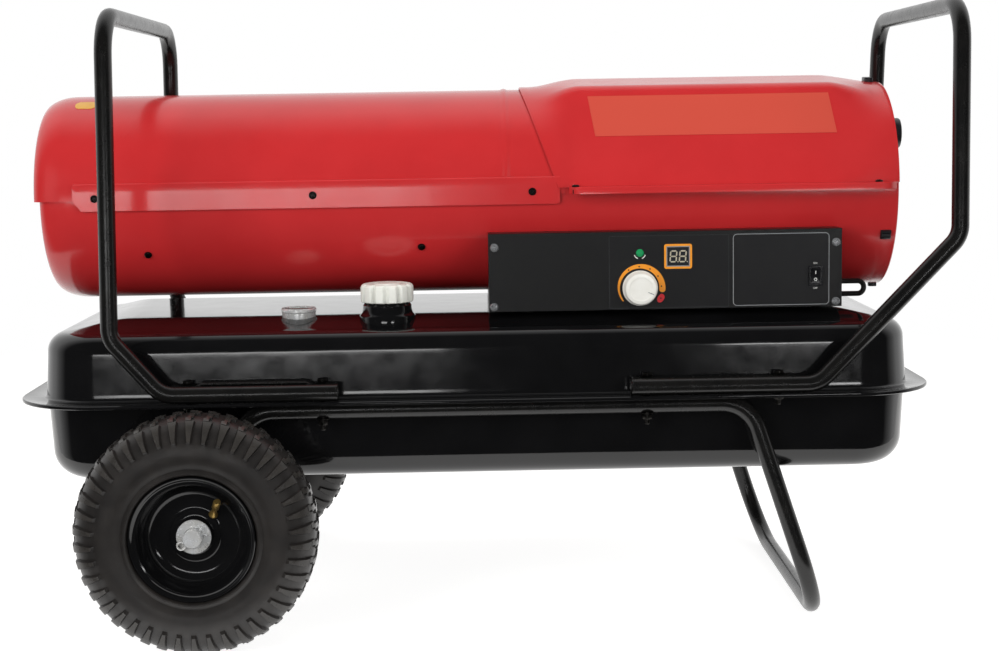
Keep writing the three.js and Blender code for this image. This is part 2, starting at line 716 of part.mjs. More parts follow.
function gaugeBody() {
  const z0 = TANK_TOP_Z + GAP;
  const r = GAUGE_R - 4;
  const profile = [
    [0, z0 - 12], [r, z0 - 12], [r, z0], [GAUGE_R - 1, z0], [GAUGE_R - 1, z0 + 8], [GAUGE_R - 3, z0 + 9],
    [GAUGE_R - 3, z0 + 12], [GAUGE_R, z0 + 13], [GAUGE_R, GAUGE_TOP], [GAUGE_R - 3, GAUGE_TOP],
    [GAUGE_R - 3, z0 + 14], [0, z0 + 14],
  ];
  const points = profile.map(([a, b]) => new THREE.Vector2(a, b));
  const lathe = new THREE.LatheGeometry(points, NECK_SIDES).rotateX(Math.PI / 2);
  const can = solid(lathe.translate(GAUGE_X, GAUGE_Y, 0));
  const z1 = z0 - 11;
  const ears = joined(
    box(GAUGE_X - 4, GAUGE_X + 4, GAUGE_Y - 5, GAUGE_Y - 3, z1 - GAUGE_STEM, z1),
    box(GAUGE_X - 4, GAUGE_X + 4, GAUGE_Y + 3, GAUGE_Y + 5, z1 - GAUGE_STEM, z1),
  );
  const pivot = rodY(FLOAT_PIN_R + GAP, GAUGE_Y - 9, GAUGE_Y + 9, GAUGE_X, z1 - GAUGE_STEM + 4, 10);
  return can.add(ears).subtract(pivot);
}
add('fuel_gauge_body', gaugeBody(), ZINC);

function gaugeLens() {
  const z0 = TANK_TOP_Z + 2 * GAP + 14;
  const r = (GAUGE_R - 3) * Math.cos(Math.PI / NECK_SIDES) - GAP;
  return rodZ(r, z0 + 2, GAUGE_TOP - 0.6, GAUGE_X, GAUGE_Y);
}
add('fuel_gauge_lens', gaugeLens(), LENS);

function floatArm() {
  const z = TANK_TOP_Z + GAP - 11 - GAUGE_STEM + 4;
  const pin = rodY(FLOAT_PIN_R, -FLOAT_PIN_HALF, FLOAT_PIN_HALF, 0, 0);
  const arm = box(-FLOAT_ARM, 0, -FLOAT_PIN_R, FLOAT_PIN_R, -1.2, 1.2);
  const float = rodY(FLOAT_R, -FLOAT_HALF, FLOAT_HALF, -FLOAT_ARM, 0);
  return joined(pin, arm, float).rotate([0, -FLOAT_DROP, 0]).translate([GAUGE_X, GAUGE_Y, z]);
}
add('fuel_float_arm', floatArm(), BRASS);

// ---- barrel -------------------------------------------------------------------------------
const DUCT_SIDES = 40;

// Round duct skin with its outlet end curled in, open at both ends.
function duct(outerR, x0, x1) {
  const lip = NOSE_LIP_R + outerR - BARREL_R;
  const turns = 3;
  const outer = [[outerR, x1]];
  for (let k = 0; k <= turns; k++) {
    const a = (Math.PI / 2) * (k / turns);
    outer.push([lip + (outerR - lip) * Math.cos(a), x0 + NOSE_CURL * (1 - Math.sin(a))]);
  }
  const inner = outer.map(([r, x]) => [r - SHEET, x]).reverse();
  return turnedX([...outer, ...inner], DUCT_SIDES);
}

const SHELL_R = BARREL_R - SHEET - GAP; // outside of the lower shell, inside the hoods

function lowerShell() {
  const keep = box(NOSE_X - 10, REAR_X + 10, -200, 200, 300, SHELL_TOP_Z);
  let body = duct(SHELL_R, NOSE_X, REAR_X).intersect(keep);
  for (const s of [-1, 1]) {
    const y = [s * (SHELL_R - SHEET / 2), s * SIDE_FLANGE_Y].sort((a, b) => a - b);
    body = body.add(box(SIDE_FLANGE_X0, SIDE_FLANGE_X1, y[0], y[1], SHELL_TOP_Z - SHEET, SHELL_TOP_Z));
  }
  return body;
}
add('lower_shell', lowerShell(), RED_PAINT);

function frontHood() {
  const topX = LAP_END_X - HOOD_SLANT;
  const top = BARREL_Z + BARREL_R;
  const side = [
    [HOOD_NOSE_X - 10, LAP_Z], [LAP_END_X, LAP_Z], [LAP_END_X, SHELL_TOP_Z], [topX, top], [topX, top + 10],
    [HOOD_NOSE_X - 10, top + 10]];
  return duct(BARREL_R, HOOD_NOSE_X, LAP_END_X).intersect(prismY(side, -2 * BARREL_R, 2 * BARREL_R));
}
add('front_hood', frontHood(), RED_PAINT);

// Outline of the rear hood at one station: round where it meets the duct, folded in between.
function hoodRadius(angle, fold) {
  const round = BARREL_R + HOOD_CLEAR + SHEET;
  const corners = [[HOOD_SIDE_Y, SHELL_TOP_Z - BARREL_Z], [HOOD_FOLD_Y, HOOD_FOLD_Z - BARREL_Z],
    [0, HOOD_TOP_Z - BARREL_Z]];
  const dir = [Math.abs(Math.sin(angle)), Math.cos(angle)];
  let reach = corners[0][0];
  for (let i = 0; i < 2; i++) {
    const [ax, ay] = corners[i];
    const [bx, by] = corners[i + 1];
    const cross = dir[0] * (by - ay) - dir[1] * (bx - ax);
    const r = (ax * (by - ay) - ay * (bx - ax)) / cross;
    const t = Math.abs(bx - ax) > 1e-9 ? (r * dir[0] - ax) / (bx - ax) : 0;
    if (t >= -1e-6 && t <= 1 + 1e-6) reach = r;
  }
  return round + (reach - round) * fold;
}

function rearHood() {
  const seamZ = SHELL_TOP_Z + GAP;
  const foldAngle = Math.atan2(HOOD_FOLD_Y, HOOD_FOLD_Z - BARREL_Z);
  const limit = Math.acos((seamZ - BARREL_Z) / (BARREL_R + HOOD_CLEAR + SHEET));
  const angles = [];
  for (let k = 0; k <= 5; k++) angles.push(limit + ((foldAngle - limit) * k) / 5);
  for (let k = 1; k <= 2; k++) angles.push(foldAngle * (1 - k / 2));
  const all = [...angles, ...angles.slice(0, -1).reverse().map((a) => -a)];
  const stations = [
    [HOOD_FRONT_X, 0, 1], [HOOD_FRONT_X + 22, 0.12, 0.85],
    [HOOD_RISE_X - 14, 0.8, 0.3], [HOOD_RISE_X, 1, 0.1],
    [HOOD_FALL_X, 1, 0], [HOOD_FALL_X + 12, 0.85, 0], [REAR_X - 16, 0.1, 0], [REAR_X, 0, 0],
  ];
  const rings = stations.map(([x, fold, slant]) => {
    const point = (angle, inset) => {
      const r = hoodRadius(angle, fold) - inset;
      const lift = Math.cos(angle);
      const back = x + slant * HOOD_SLANT * (1 - lift);
      const p = new THREE.Vector3(back, r * Math.sin(angle), BARREL_Z + r * lift);
      p.flat = new THREE.Vector2(p.y, p.z);
      return p;
    };
    return [...all.map((a) => point(a, 0)), ...all.map((a) => point(a, SHEET)).reverse()];
  });
  let body = loft(rings).intersect(box(0, REAR_X, -SIDE_FLANGE_Y, SIDE_FLANGE_Y, seamZ, HOOD_TOP_Z + 1));
  for (const s of [-1, 1]) {
    const y = [s * (HOOD_SIDE_Y - 1.5), s * SIDE_FLANGE_Y].sort((a, b) => a - b);
    body = body.add(box(HOOD_RISE_X, HOOD_FALL_X + 12, y[0], y[1], seamZ, seamZ + SHEET));
  }
  return body;
}
add('rear_hood', rearHood(), RED_PAINT);

// ---- burner -------------------------------------------------------------------------------
const SHELL_INNER = (SHELL_R - SHEET) * Math.cos(Math.PI / DUCT_SIDES); // least inside radius

// Three struts at 120 degrees from one radius to another, as sheet strips across the axis.
function struts(r0, r1, x0, x1, width, count = 3, start = -90) {
  const strips = [];
  for (let k = 0; k < count; k++) {
    const strip = box(x0, x1, r0, r1, -width / 2, width / 2);
    strips.push(strip.rotate([start + (360 * k) / count, 0, 0]).translate([0, 0, BARREL_Z]));
  }
  return joined(...strips);
}

const CHAMBER_SIDES = 24;

function chamber() {
  const cone = CHAMBER_R - 26;
  const throat = ream(BURNER_R + GAP, CHAMBER_SIDES);
  const wall = [
    [CHAMBER_R, CHAMBER_X0], [CHAMBER_R, CHAMBER_X1 - 40], [cone, CHAMBER_X1], [throat, CHAMBER_X1],
    [throat, CHAMBER_X1 - 1], [cone - 1, CHAMBER_X1 - 1], [CHAMBER_R - 1, CHAMBER_X1 - 41],
    [CHAMBER_R - 1, CHAMBER_X0],
  ];
  const feet = [CHAMBER_X0 + 40, CHAMBER_X1 - 70].map((x) =>
    struts(CHAMBER_R - 0.5, SHELL_INNER - GAP, x, x + 14, 2, 3, -90));
  return joined(turnedX(wall, CHAMBER_SIDES), ...feet);
}
add('combustion_chamber', chamber(), STAINLESS);

function flameDisc() {
  const x = CHAMBER_X0 + 8;
  const disc = rodX(52, x, x + 1.5, 0, BARREL_Z);
  const reach = (CHAMBER_R - 1) * Math.cos(Math.PI / CHAMBER_SIDES) - GAP;
  return disc.add(struts(50, reach - 0.6, x, x + 1.5, 14, 3, 90));
}
add('flame_disc', flameDisc(), STAINLESS);

const BURNER_X0 = CHAMBER_X1 - 20;
const BURNER_X1 = BURNER_X0 + BURNER_L;

function burnerHead() {
  const profile = [
    [14, BURNER_X0], [BURNER_R, BURNER_X0], [BURNER_R, CHAMBER_X1 + GAP], [BURNER_R + 8, CHAMBER_X1 + GAP],
    [BURNER_R + 8, CHAMBER_X1 + GAP + 1.5], [BURNER_R, CHAMBER_X1 + GAP + 1.5], [BURNER_R, BURNER_X1],
    [BURNER_R - 1.5, BURNER_X1], [BURNER_R - 1.5, BURNER_X0 + 1.5], [14, BURNER_X0 + 1.5],
  ];
  const slots = [];
  for (let k = 0; k < BURNER_SLOTS; k++) {
    const slot = box(BURNER_X0 - 1, BURNER_X0 + 3, 22, 40, -2, 2);
    slots.push(slot.rotate([(360 * (k + 0.5)) / BURNER_SLOTS, 0, 0]).translate([0, 0, BARREL_Z]));
  }
  const half = BURNER_R - 1;
  const backPlate = box(BURNER_X1 - 8, BURNER_X1 - 6, -half, half, BARREL_Z - 14, BARREL_Z + 14);
  const bore = rodX(6 + GAP, BURNER_X1 - 20, BURNER_X1 + 5, 0, BARREL_Z);
  const lead = rodX(2.5 + GAP, BURNER_X1 - 20, BURNER_X1 + 5, 20, BARREL_Z);
  return turnedX(profile, 20).subtract(joined(...slots)).add(backPlate).subtract(bore).subtract(lead);
}
add('burner_head', burnerHead(), STAINLESS);

function nozzle() {
  const profile = [[0, BURNER_X0 + 2], [4, BURNER_X0 + 4], [9, BURNER_X0 + 12], [9, BURNER_X1 - 8 - GAP],
    [6, BURNER_X1 - 8 - GAP], [6, BURNER_X1 + 12], [0, BURNER_X1 + 12]];
  const points = profile.map(([r, x]) => new THREE.Vector2(r, x));
  return solid(new THREE.LatheGeometry(points, 16).rotateZ(-Math.PI / 2).translate(0, 0, BARREL_Z));
}
add('fuel_nozzle', nozzle(), BRASS);

function electrode() {
  const y = 20;
  const insulator = rodX(2.5, BURNER_X0 + 14, BURNER_X1 + 10, y, BARREL_Z);
  const collar = rodX(4.5, BURNER_X1 - 14, BURNER_X1 - 8 - GAP, y, BARREL_Z);
  return joined(insulator, collar, rodX(1, BURNER_X0 + 4, BURNER_X0 + 15, y, BARREL_Z));
}
add('ignition_electrode', electrode(), CERAMIC);

// ---- motor, fan and pump ------------------------------------------------------------------
function motor() {
  const profile = [
    [SHAFT_R + GAP, MOTOR_X0], [22, MOTOR_X0], [24, MOTOR_X0 + 8], [MOTOR_R - 4, MOTOR_X0 + 10],
    [MOTOR_R, MOTOR_X0 + 16], [MOTOR_R, MOTOR_X1], [SHAFT_R + GAP, MOTOR_X1],
  ];
  return turnedX(profile, 20);
}
add('fan_motor', motor(), BLACK_PAINT);

function motorBracket() {
  const x = MOTOR_X0 + 60;
  const ring = rodX(MOTOR_R + 10, x, x + 3, 0, BARREL_Z);
  const arms = struts(MOTOR_R + 8, SHELL_INNER - GAP, x, x + 3, 22, 3, -90)
    .subtract(box(x - 1, x + 4, -BARREL_R, BARREL_R, SHELL_TOP_Z, BARREL_TOP_Z));
  const half = SHELL_INNER - 1;
  const saddle = joined(ring, arms, box(x, x + 3, -half, half, BARREL_Z - 14, BARREL_Z));
  const round = rodX(SHELL_INNER - GAP, x - 1, x + 4, 0, BARREL_Z, 48);
  return saddle.intersect(round).subtract(boreX(MOTOR_R + GAP, x - 1, x + 4, 0, BARREL_Z));
}
add('motor_bracket', motorBracket(), ZINC);

const ROTOR_X1 = MOTOR_X1 + 30;
add('motor_shaft', rodX(SHAFT_R, FAN_X - 8, ROTOR_X1, 0, BARREL_Z), ZINC);

function fan() {
  const hub = rodX(20, FAN_X, FAN_X + FAN_W, 0, BARREL_Z);
  const blades = [];
  for (let k = 0; k < FAN_BLADES; k++) {
    const blade = box(-FAN_W * 0.75, FAN_W * 0.75, 16, FAN_R, -1, 1).rotate([0, 52, 0]);
    blades.push(blade.rotate([(360 * k) / FAN_BLADES, 0, 0]).translate([FAN_X + FAN_W / 2, 0, BARREL_Z]));
  }
  const bore = rodX(SHAFT_R + GAP, FAN_X - 20, FAN_X + FAN_W + 20, 0, BARREL_Z);
  return joined(hub, ...blades).subtract(bore);
}
add('fan_blade', fan(), ALUMINIUM);

function pumpCover() {
  const x0 = MOTOR_X1 + GAP;
  const profile = [
    [SHAFT_R + 12, x0], [PUMP_R, x0], [PUMP_R, x0 + 26], [PUMP_R - 6, x0 + 30], [PUMP_R - 6, PUMP_X1 - 6],
    [PUMP_R - 14, PUMP_X1], [0, PUMP_X1], [0, ROTOR_X1 + GAP], [SHAFT_R + 12, ROTOR_X1 + GAP],
  ];
  const points = [...profile, profile[0]].map(([r, x]) => new THREE.Vector2(r, x));
  return solid(new THREE.LatheGeometry(points, 20).rotateZ(-Math.PI / 2).translate(0, 0, BARREL_Z));
}
add('air_pump_housing', pumpCover(), ALUMINIUM);

// Wire guard over the intake, with the plate that carries the pressure gauge.
function rearGuard() {
  const outer = SHELL_INNER - GAP;
  const pieces = [];
  for (let k = 0; k < GUARD_RINGS; k++) {
    const r = outer - (k * (outer - 20)) / GUARD_RINGS;
    pieces.push(turnedX([[r - GUARD_WIRE, GUARD_X], [r, GUARD_X], [r, GUARD_X + GUARD_WIRE],
      [r - GUARD_WIRE, GUARD_X + GUARD_WIRE]], 24));
  }
  for (let k = 0; k < GUARD_SPOKES; k++) {
    const spoke = box(GUARD_X, GUARD_X + GUARD_WIRE, 12, outer - 1, -GUARD_WIRE / 2, GUARD_WIRE / 2);
    pieces.push(spoke.rotate([(360 * (k + 0.5)) / GUARD_SPOKES, 0, 0]).translate([0, 0, BARREL_Z]));
  }
  pieces.push(rodX(15, GUARD_X, GUARD_X + GUARD_WIRE, 0, BARREL_Z));
  pieces.push(rodX(PRESSURE_R, GUARD_X, GUARD_X + GUARD_WIRE, PRESSURE_Y, PRESSURE_Z));
  return joined(...pieces).subtract(boreX(5 + GAP, GUARD_X - 5, GUARD_X + 9, PRESSURE_Y, PRESSURE_Z));
}
add('rear_guard', rearGuard(), BLACK_PAINT);

function pressureGauge() {
  const x0 = GUARD_X + GUARD_WIRE + GAP;
  const can = rodX(PRESSURE_R, x0, x0 + 18, PRESSURE_Y, PRESSURE_Z);
  const dial = rodX(PRESSURE_R - 2.5, x0 + 16.5, x0 + 19, PRESSURE_Y, PRESSURE_Z);
  return can.subtract(dial).add(rodX(5, x0 - 24, x0 + 1, PRESSURE_Y, PRESSURE_Z));
}
add('pressure_gauge', pressureGauge(), BLACK_PLASTIC);

// ---- base housing and controls ------------------------------------------------------------
const HOUSING_T = 1.5;

// Sheet housing that the barrel lies in: its roof follows the duct, its near face is open.
function controlBox() {
  const around = (r) => boreX(r, BOX_X0 - 5, BOX_X1 + 5, 0, BARREL_Z, DUCT_SIDES);
  const outer = box(BOX_X0, BOX_X1, -BOX_Y, BOX_Y, BOX_Z0, BOX_Z1).subtract(around(SHELL_R + GAP));
  const t = HOUSING_T;
  const hollow = box(BOX_X0 + t, BOX_X1 - t, -BOX_Y - 5, BOX_Y - t, BOX_Z0 + t, BOX_Z1 - t)
    .subtract(around(SHELL_R + GAP + t));
  const hoseHoles = [HOSE.highZ, HOSE.lowZ].map((z) =>
    boreX(HOSE_R + GAP, BOX_X1 - 5, BOX_X1 + 5, HOSE.y, z, 14),
  );
  return hoseHoles.reduce((body, hole) => body.subtract(hole), outer.subtract(hollow));
}

add('control_box', controlBox(), BLACK_PAINT);

const FACE_Y = -BOX_Y - GAP - COVER_T; // front of the control panel

function controlCover() {
  const back = FACE_Y + COVER_T;
  let plate = box(BOX_X0, BOX_X1, FACE_Y, back, BOX_Z0, BOX_Z1);
  const lip = 9;
  for (const z of [BOX_Z0 + HOUSING_T + GAP, BOX_Z1 - HOUSING_T - GAP - COVER_T]) {
    plate = plate.add(box(BOX_X0 + 12, BOX_X1 - 12, FACE_Y + 0.5, back + lip, z, z + COVER_T));
  }
  const hole = (r, x, z) => rodY(r, FACE_Y - 5, back + 5, x, z, 20);
  const slot = (w, h, x, z) => box(x - w / 2, x + w / 2, FACE_Y - 5, back + 3, z - h / 2, z + h / 2);
  return plate
    .subtract(hole(KNOB_STEM_R + GAP, KNOB_X, KNOB_Z))
    .subtract(hole(LAMP_R - 1 + GAP, KNOB_X, LAMP_Z))
    .subtract(slot(DISPLAY.w - 4, DISPLAY.h - 4, DISPLAY.x, DISPLAY.z))
    .subtract(slot(SWITCH.w - 3, SWITCH.h - 3, SWITCH.x, SWITCH.z));
}
add('control_cover', controlCover(), BLACK_PAINT);

function knob() {
  const y = FACE_Y - GAP;
  const profile = [
    [0, 0], [KNOB_R, 0], [KNOB_R, 3],
    [KNOB_R - 2, KNOB_D - 2], [KNOB_R - 4, KNOB_D], [0, KNOB_D],
  ];
  const points = profile.map(([r, h]) => new THREE.Vector2(r, h));
  const grip = solid(new THREE.LatheGeometry(points, 28).rotateX(Math.PI).translate(KNOB_X, y, KNOB_Z));
  return grip.add(rodY(KNOB_STEM_R, y - 2, BOARD_Y - 6 - GAP, KNOB_X, KNOB_Z));
}
add('thermostat_knob', knob(), WHITE_PLASTIC);

function lamp() {
  const y = FACE_Y - GAP;
  return rodY(LAMP_R, y - 3, y, KNOB_X, LAMP_Z).add(rodY(LAMP_R - 1, y - 1, y + 10, KNOB_X, LAMP_Z));
}
add('indicator_lamp', lamp(), GREEN_LENS);

function displayWindow() {
  const y = FACE_Y - GAP;
  const { x, z, w, h } = DISPLAY;
  const bezel = box(x - w / 2, x + w / 2, y - 1.5, y, z - h / 2, z + h / 2);
  const c = 2 + GAP;
  return bezel.add(box(x - w / 2 + c, x + w / 2 - c, y - 1, y + 10, z - h / 2 + c, z + h / 2 - c));
}
add('display_window', displayWindow(), LENS);

const ROCKER = { w: 9, h: 15.5 };

function switchBody() {
  const y = FACE_Y - GAP;
  const { x, z, w, h, depth } = SWITCH;
  const bezel = box(x - w / 2, x + w / 2, y - 1.8, y, z - h / 2, z + h / 2);
  const c = 1.5 + GAP;
  const body = box(x - w / 2 + c, x + w / 2 - c, y - 1, y + depth, z - h / 2 + c, z + h / 2 - c);
  const well = box(x - ROCKER.w / 2 - GAP, x + ROCKER.w / 2 + GAP, y - 5, y + 9,
    z - ROCKER.h / 2 - 0.6, z + ROCKER.h / 2 + 0.6);
  const pivot = rodX(1.2 + GAP, x - ROCKER.w / 2 - 1.3, x + ROCKER.w / 2 + 1.3, y + 1, z, 10);
  return bezel.add(body).subtract(well).subtract(pivot);
}
add('switch_body', switchBody(), BLACK_PLASTIC);

// The rocker leans on one end: its face is a shallow V across the pivot.
function rocker() {
  const y = FACE_Y - GAP;
  const { x, z } = SWITCH;
  const h = ROCKER.h / 2;
  const outline = [
    [y - 3.4, z + h], [y - 1.6, z], [y - 2.0, z - h],
    [y + 3, z - h * 0.6], [y + 3, z + h * 0.6],
  ];
  const body = prismX(outline, x - ROCKER.w / 2, x + ROCKER.w / 2);
  return body.add(rodX(1.2, x - ROCKER.w / 2 - 1, x + ROCKER.w / 2 + 1, y + 1, z, 10));
}
add('switch_rocker', rocker(), BLACK_PLASTIC);

function board() {
  const x0 = KNOB_X - 55;
  const x1 = DISPLAY.x + 45;
  const z0 = BOX_Z0 + 14;
  const z1 = BOX_Z1 - 8;
  let body = box(x0, x1, BOARD_Y, BOARD_Y + 1.6, z0, z1);
  body = body.add(box(KNOB_X - 8, KNOB_X + 8, BOARD_Y - 6, BOARD_Y + 0.5, KNOB_Z - 8, KNOB_Z + 8));
  for (const x of [x0 + 6, x1 - 6]) {
    for (const z of [z0 + 6, z1 - 6]) {
      body = body.add(rodY(2.5, -BOX_Y, BOARD_Y + 0.5, x, z, 8));
    }
  }
  return body;
}
add('circuit_board', board(), BOARD_GREEN);

const TRANSFORMER = { x: 284, y: 11 - BOX_Y, length: 60, depth: 52, height: 28 };

function transformer() {
  const z0 = BOX_Z0 + HOUSING_T + GAP;
  const { x, y, length, depth, height } = TRANSFORMER;
  const core = box(x, x + length, y, y + depth, z0, z0 + height);
  return core.add(rodX(5, x + length - 1, x + length + 10, y + depth / 2, z0 + height / 2, 12));
}
add('ignition_transformer', transformer(), BLACK_PLASTIC);

// Folded channel rails that carry the housing on the tank top.
RAIL_X.forEach((x, i) => {
  const z0 = TANK_TOP_Z + GAP;
  const z1 = BOX_Z0 - GAP;
  const w = RAIL_W / 2;
  const t = 2;
  const channel = [
    [x - w, z0], [x - w + 8, z0], [x - w + 8, z1 - t], [x + w - 8, z1 - t], [x + w - 8, z0], [x + w, z0],
    [x + w, z0 + t], [x + w - 6, z0 + t], [x + w - 6, z1],
    [x - w + 6, z1], [x - w + 6, z0 + t], [x - w, z0 + t],
  ];
  add(`${i ? 'rear' : 'front'}_support_rail`, prismY(channel, -RAIL_Y, RAIL_Y), BLACK_PAINT);
});

// Fuel hose: out of the housing's end wall, round, and back in below.
function fuelHose() {
  const { y, highZ, lowZ, reach } = HOSE;
  const corners = [
    [BOX_X1 - HOUSING_T, y, highZ], [reach, y, highZ],
    [reach, y, lowZ], [BOX_X1 - HOUSING_T, y, lowZ],
  ];
  return bar(bent(corners, [HOSE.bend, HOSE.bend], 6), HOSE_R, 10);
}
add('fuel_hose', fuelHose(), BLACK_PLASTIC);

export default heater;
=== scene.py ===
"""Portable forced air heater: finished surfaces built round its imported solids, in metres."""
import json
import math

import bpy
from mathutils import Matrix, Vector

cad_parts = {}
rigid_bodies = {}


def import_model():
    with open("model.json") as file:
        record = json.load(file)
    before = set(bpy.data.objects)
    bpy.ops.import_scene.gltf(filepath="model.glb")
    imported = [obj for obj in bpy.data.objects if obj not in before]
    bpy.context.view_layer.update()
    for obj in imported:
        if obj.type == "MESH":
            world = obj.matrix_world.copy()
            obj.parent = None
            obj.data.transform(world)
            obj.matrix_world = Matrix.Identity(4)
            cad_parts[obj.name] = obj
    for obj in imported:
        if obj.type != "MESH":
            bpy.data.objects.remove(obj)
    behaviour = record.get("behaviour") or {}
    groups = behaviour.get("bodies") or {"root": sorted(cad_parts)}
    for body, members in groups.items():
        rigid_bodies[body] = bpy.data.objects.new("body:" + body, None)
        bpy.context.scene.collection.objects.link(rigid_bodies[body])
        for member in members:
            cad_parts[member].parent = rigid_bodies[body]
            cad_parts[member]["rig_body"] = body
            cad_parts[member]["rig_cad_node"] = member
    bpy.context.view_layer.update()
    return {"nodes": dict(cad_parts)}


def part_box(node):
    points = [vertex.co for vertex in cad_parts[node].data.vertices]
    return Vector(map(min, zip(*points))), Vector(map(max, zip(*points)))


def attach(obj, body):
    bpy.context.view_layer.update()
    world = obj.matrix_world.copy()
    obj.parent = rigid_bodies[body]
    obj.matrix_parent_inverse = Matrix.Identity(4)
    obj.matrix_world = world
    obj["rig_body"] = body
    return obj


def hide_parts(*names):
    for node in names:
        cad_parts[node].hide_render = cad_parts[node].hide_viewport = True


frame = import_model()
cad = frame["nodes"]
MM = 0.001

# ---- camera and studio ----------------------------------------------------------------------
# The camera stands two metres off the control side, a little above the barrel's axis, where the
# view of the wheel, tubes and flange fits. A pale floor and soft boxes make up a plain studio.
CAMERA_AXES = ((0.99976776, -0.01390837, -0.01646178), (0.01797519, 0.1168073, 0.99299192),
               (-0.01188805, -0.9930572, 0.11703018))
CAMERA_PLACE = Vector((-0.0102984, -2.1248015, 0.5667540))
camera = bpy.data.objects.new("camera", bpy.data.cameras.new("camera"))
bpy.context.scene.collection.objects.link(camera)
camera.data.sensor_width = 36
camera.data.lens = 64.343
camera.matrix_world = Matrix.Translation(CAMERA_PLACE) @ Matrix(CAMERA_AXES).transposed().to_4x4()
bpy.context.scene.camera = camera
bpy.context.scene.view_settings.view_transform = "Standard"


def linear(colour):
    """sRGB hex to the linear colour a shader takes."""
    parts = [int(colour[i:i + 2], 16) / 255 for i in (1, 3, 5)]
    return tuple(c / 12.92 if c <= 0.04045 else ((c + 0.055) / 1.055) ** 2.4 for c in parts) + (1,)


def add(tree, kind, inputs=(), **settings):
    """Adds a node, with its settings, and the values or links of its inputs."""
    made = tree.nodes.new("ShaderNode" + kind)
    for key, value in settings.items():
        setattr(made, key, value)
    for key, value in dict(inputs).items():
        if isinstance(value, bpy.types.NodeSocket):
            tree.links.new(value, made.inputs[key])
        else:
            made.inputs[key].default_value = value
    return made


def bare_material(name):
    """A new material and its empty node tree."""
    made = bpy.data.materials.new(name)
    made.use_nodes = True
    made.node_tree.nodes.clear()
    return made, made.node_tree


def seen_directly(tree):
    """1 where the eye, a reflection or clear glass looks at the studio, 0 where it only lights."""
    path = add(tree, "LightPath")
    total = path.outputs["Is Camera Ray"]
    for ray in ("Is Glossy Ray", "Is Transmission Ray"):
        total = add(tree, "Math", {0: total, 1: path.outputs[ray]}, operation="MAXIMUM").outputs[0]
    return total


world = bpy.data.worlds.new("studio")
bpy.context.scene.world = world
world.use_nodes = True
sky = world.node_tree
sky.nodes.clear()
ROOM_LIGHT = 0.35  # plain fill on every side
ROOM_DARK = 0.03   # the unlit room on the near side, as gloss sees it
height = add(sky, "SeparateXYZ", {0: add(sky, "TexCoord").outputs["Generated"]})
behind = add(sky, "MapRange", {0: height.outputs["Y"], 1: -0.25, 2: 0.25, 3: ROOM_DARK, 4: 1.0})
gloss = add(sky, "LightPath").outputs["Is Glossy Ray"]
white = add(sky, "Background", {"Color": linear("#ffffff"), "Strength": 1.0})
room = add(sky, "Background", {"Color": linear("#ffffff"), "Strength": behind.outputs[0]})
fill = add(sky, "Background", {"Color": linear("#fbfaf8"), "Strength": ROOM_LIGHT})
seen = add(sky, "MixShader", {0: gloss, 1: white.outputs[0], 2: room.outputs[0]})
both = add(sky, "MixShader", {0: seen_directly(sky), 1: fill.outputs[0], 2: seen.outputs[0]})
add(sky, "OutputWorld", {"Surface": both.outputs[0]})


def soft_box(name, place, aim, width, depth, watts):
    """A rectangular area light turned towards a point."""
    light = bpy.data.lights.new(name, "AREA")
    light.shape, light.size, light.size_y, light.energy = "RECTANGLE", width, depth, watts
    made = bpy.data.objects.new(name, light)
    bpy.context.scene.collection.objects.link(made)
    made.matrix_world = (Matrix.Translation(place)
                         @ (Vector(aim) - Vector(place)).to_track_quat("-Z", "Y").to_matrix().to_4x4())
    return made


soft_box("left_strip", (-0.745, -3.2, 0.42), (-0.5, 0, 0.45), 1.21, 0.24, 5.6)
soft_box("right_strip", (1.17, -3.2, 0.42), (0.7, 0, 0.45), 0.65, 0.17, 3.4)
for light in (soft_box("left_box", (-2.2, -2.4, 1.2), (-0.2, 0, 0.45), 1.7, 2.0, 64),
              soft_box("right_box", (2.2, -2.4, 1.2), (0.2, 0, 0.5), 1.7, 2.0, 43),
              soft_box("top_box", (0.0, -0.3, 3.0), (0, 0, 0.4), 2.2, 1.2, 26)):
    light.visible_glossy = False  # gloss sees the two strips and the pale room behind only

# Painted studio floor: clips to white by itself and keeps the object's contact shadow.
bpy.ops.object.select_all(action="DESELECT")
bpy.ops.mesh.primitive_circle_add(vertices=96, radius=1.6, fill_type="NGON", location=(0, 1.15, 0))
floor = bpy.context.object
floor.name = "floor"
floor_paint, tree = bare_material("matt_floor_paint")
matt = add(tree, "BsdfDiffuse", {"Color": linear("#c8c6c4")})
glow = add(tree, "Emission", {"Color": linear("#ffffff"), "Strength": 0.85})
lit = add(tree, "AddShader", {0: matt.outputs[0], 1: glow.outputs[0]})
floor_mix = add(tree, "MixShader", {0: seen_directly(tree), 1: matt.outputs[0], 2: lit.outputs[0]})
add(tree, "OutputMaterial", {"Surface": floor_mix.outputs[0]})
floor.data.materials.append(floor_paint)

# ---- wheels ---------------------------------------------------------------------------------
# Two 260 x 85 mm pneumatic barrow wheels: a moulded rubber tyre with side lugs and a blocked
# crown on a pressed and painted steel rim, turning on a nylon bush. The valve has a brass cap.
SIDES = (("near", -1), ("far", 1))
WHEEL_X, WHEEL_Y, WHEEL_Z = -314.5, 253.0, 130.0
SMOOTH = math.radians(32)


def alone(thing):
    """Makes one object the only selected and active one."""
    bpy.ops.object.select_all(action="DESELECT")
    thing.select_set(True)
    bpy.context.view_layer.objects.active = thing
    return thing


def all_edit(*steps):
    """Runs mesh operators in edit mode on the whole active mesh."""
    bpy.ops.object.mode_set(mode="EDIT")
    bpy.ops.mesh.select_all(action="SELECT")
    for step in steps:
        step()
    bpy.ops.object.mode_set(mode="OBJECT")


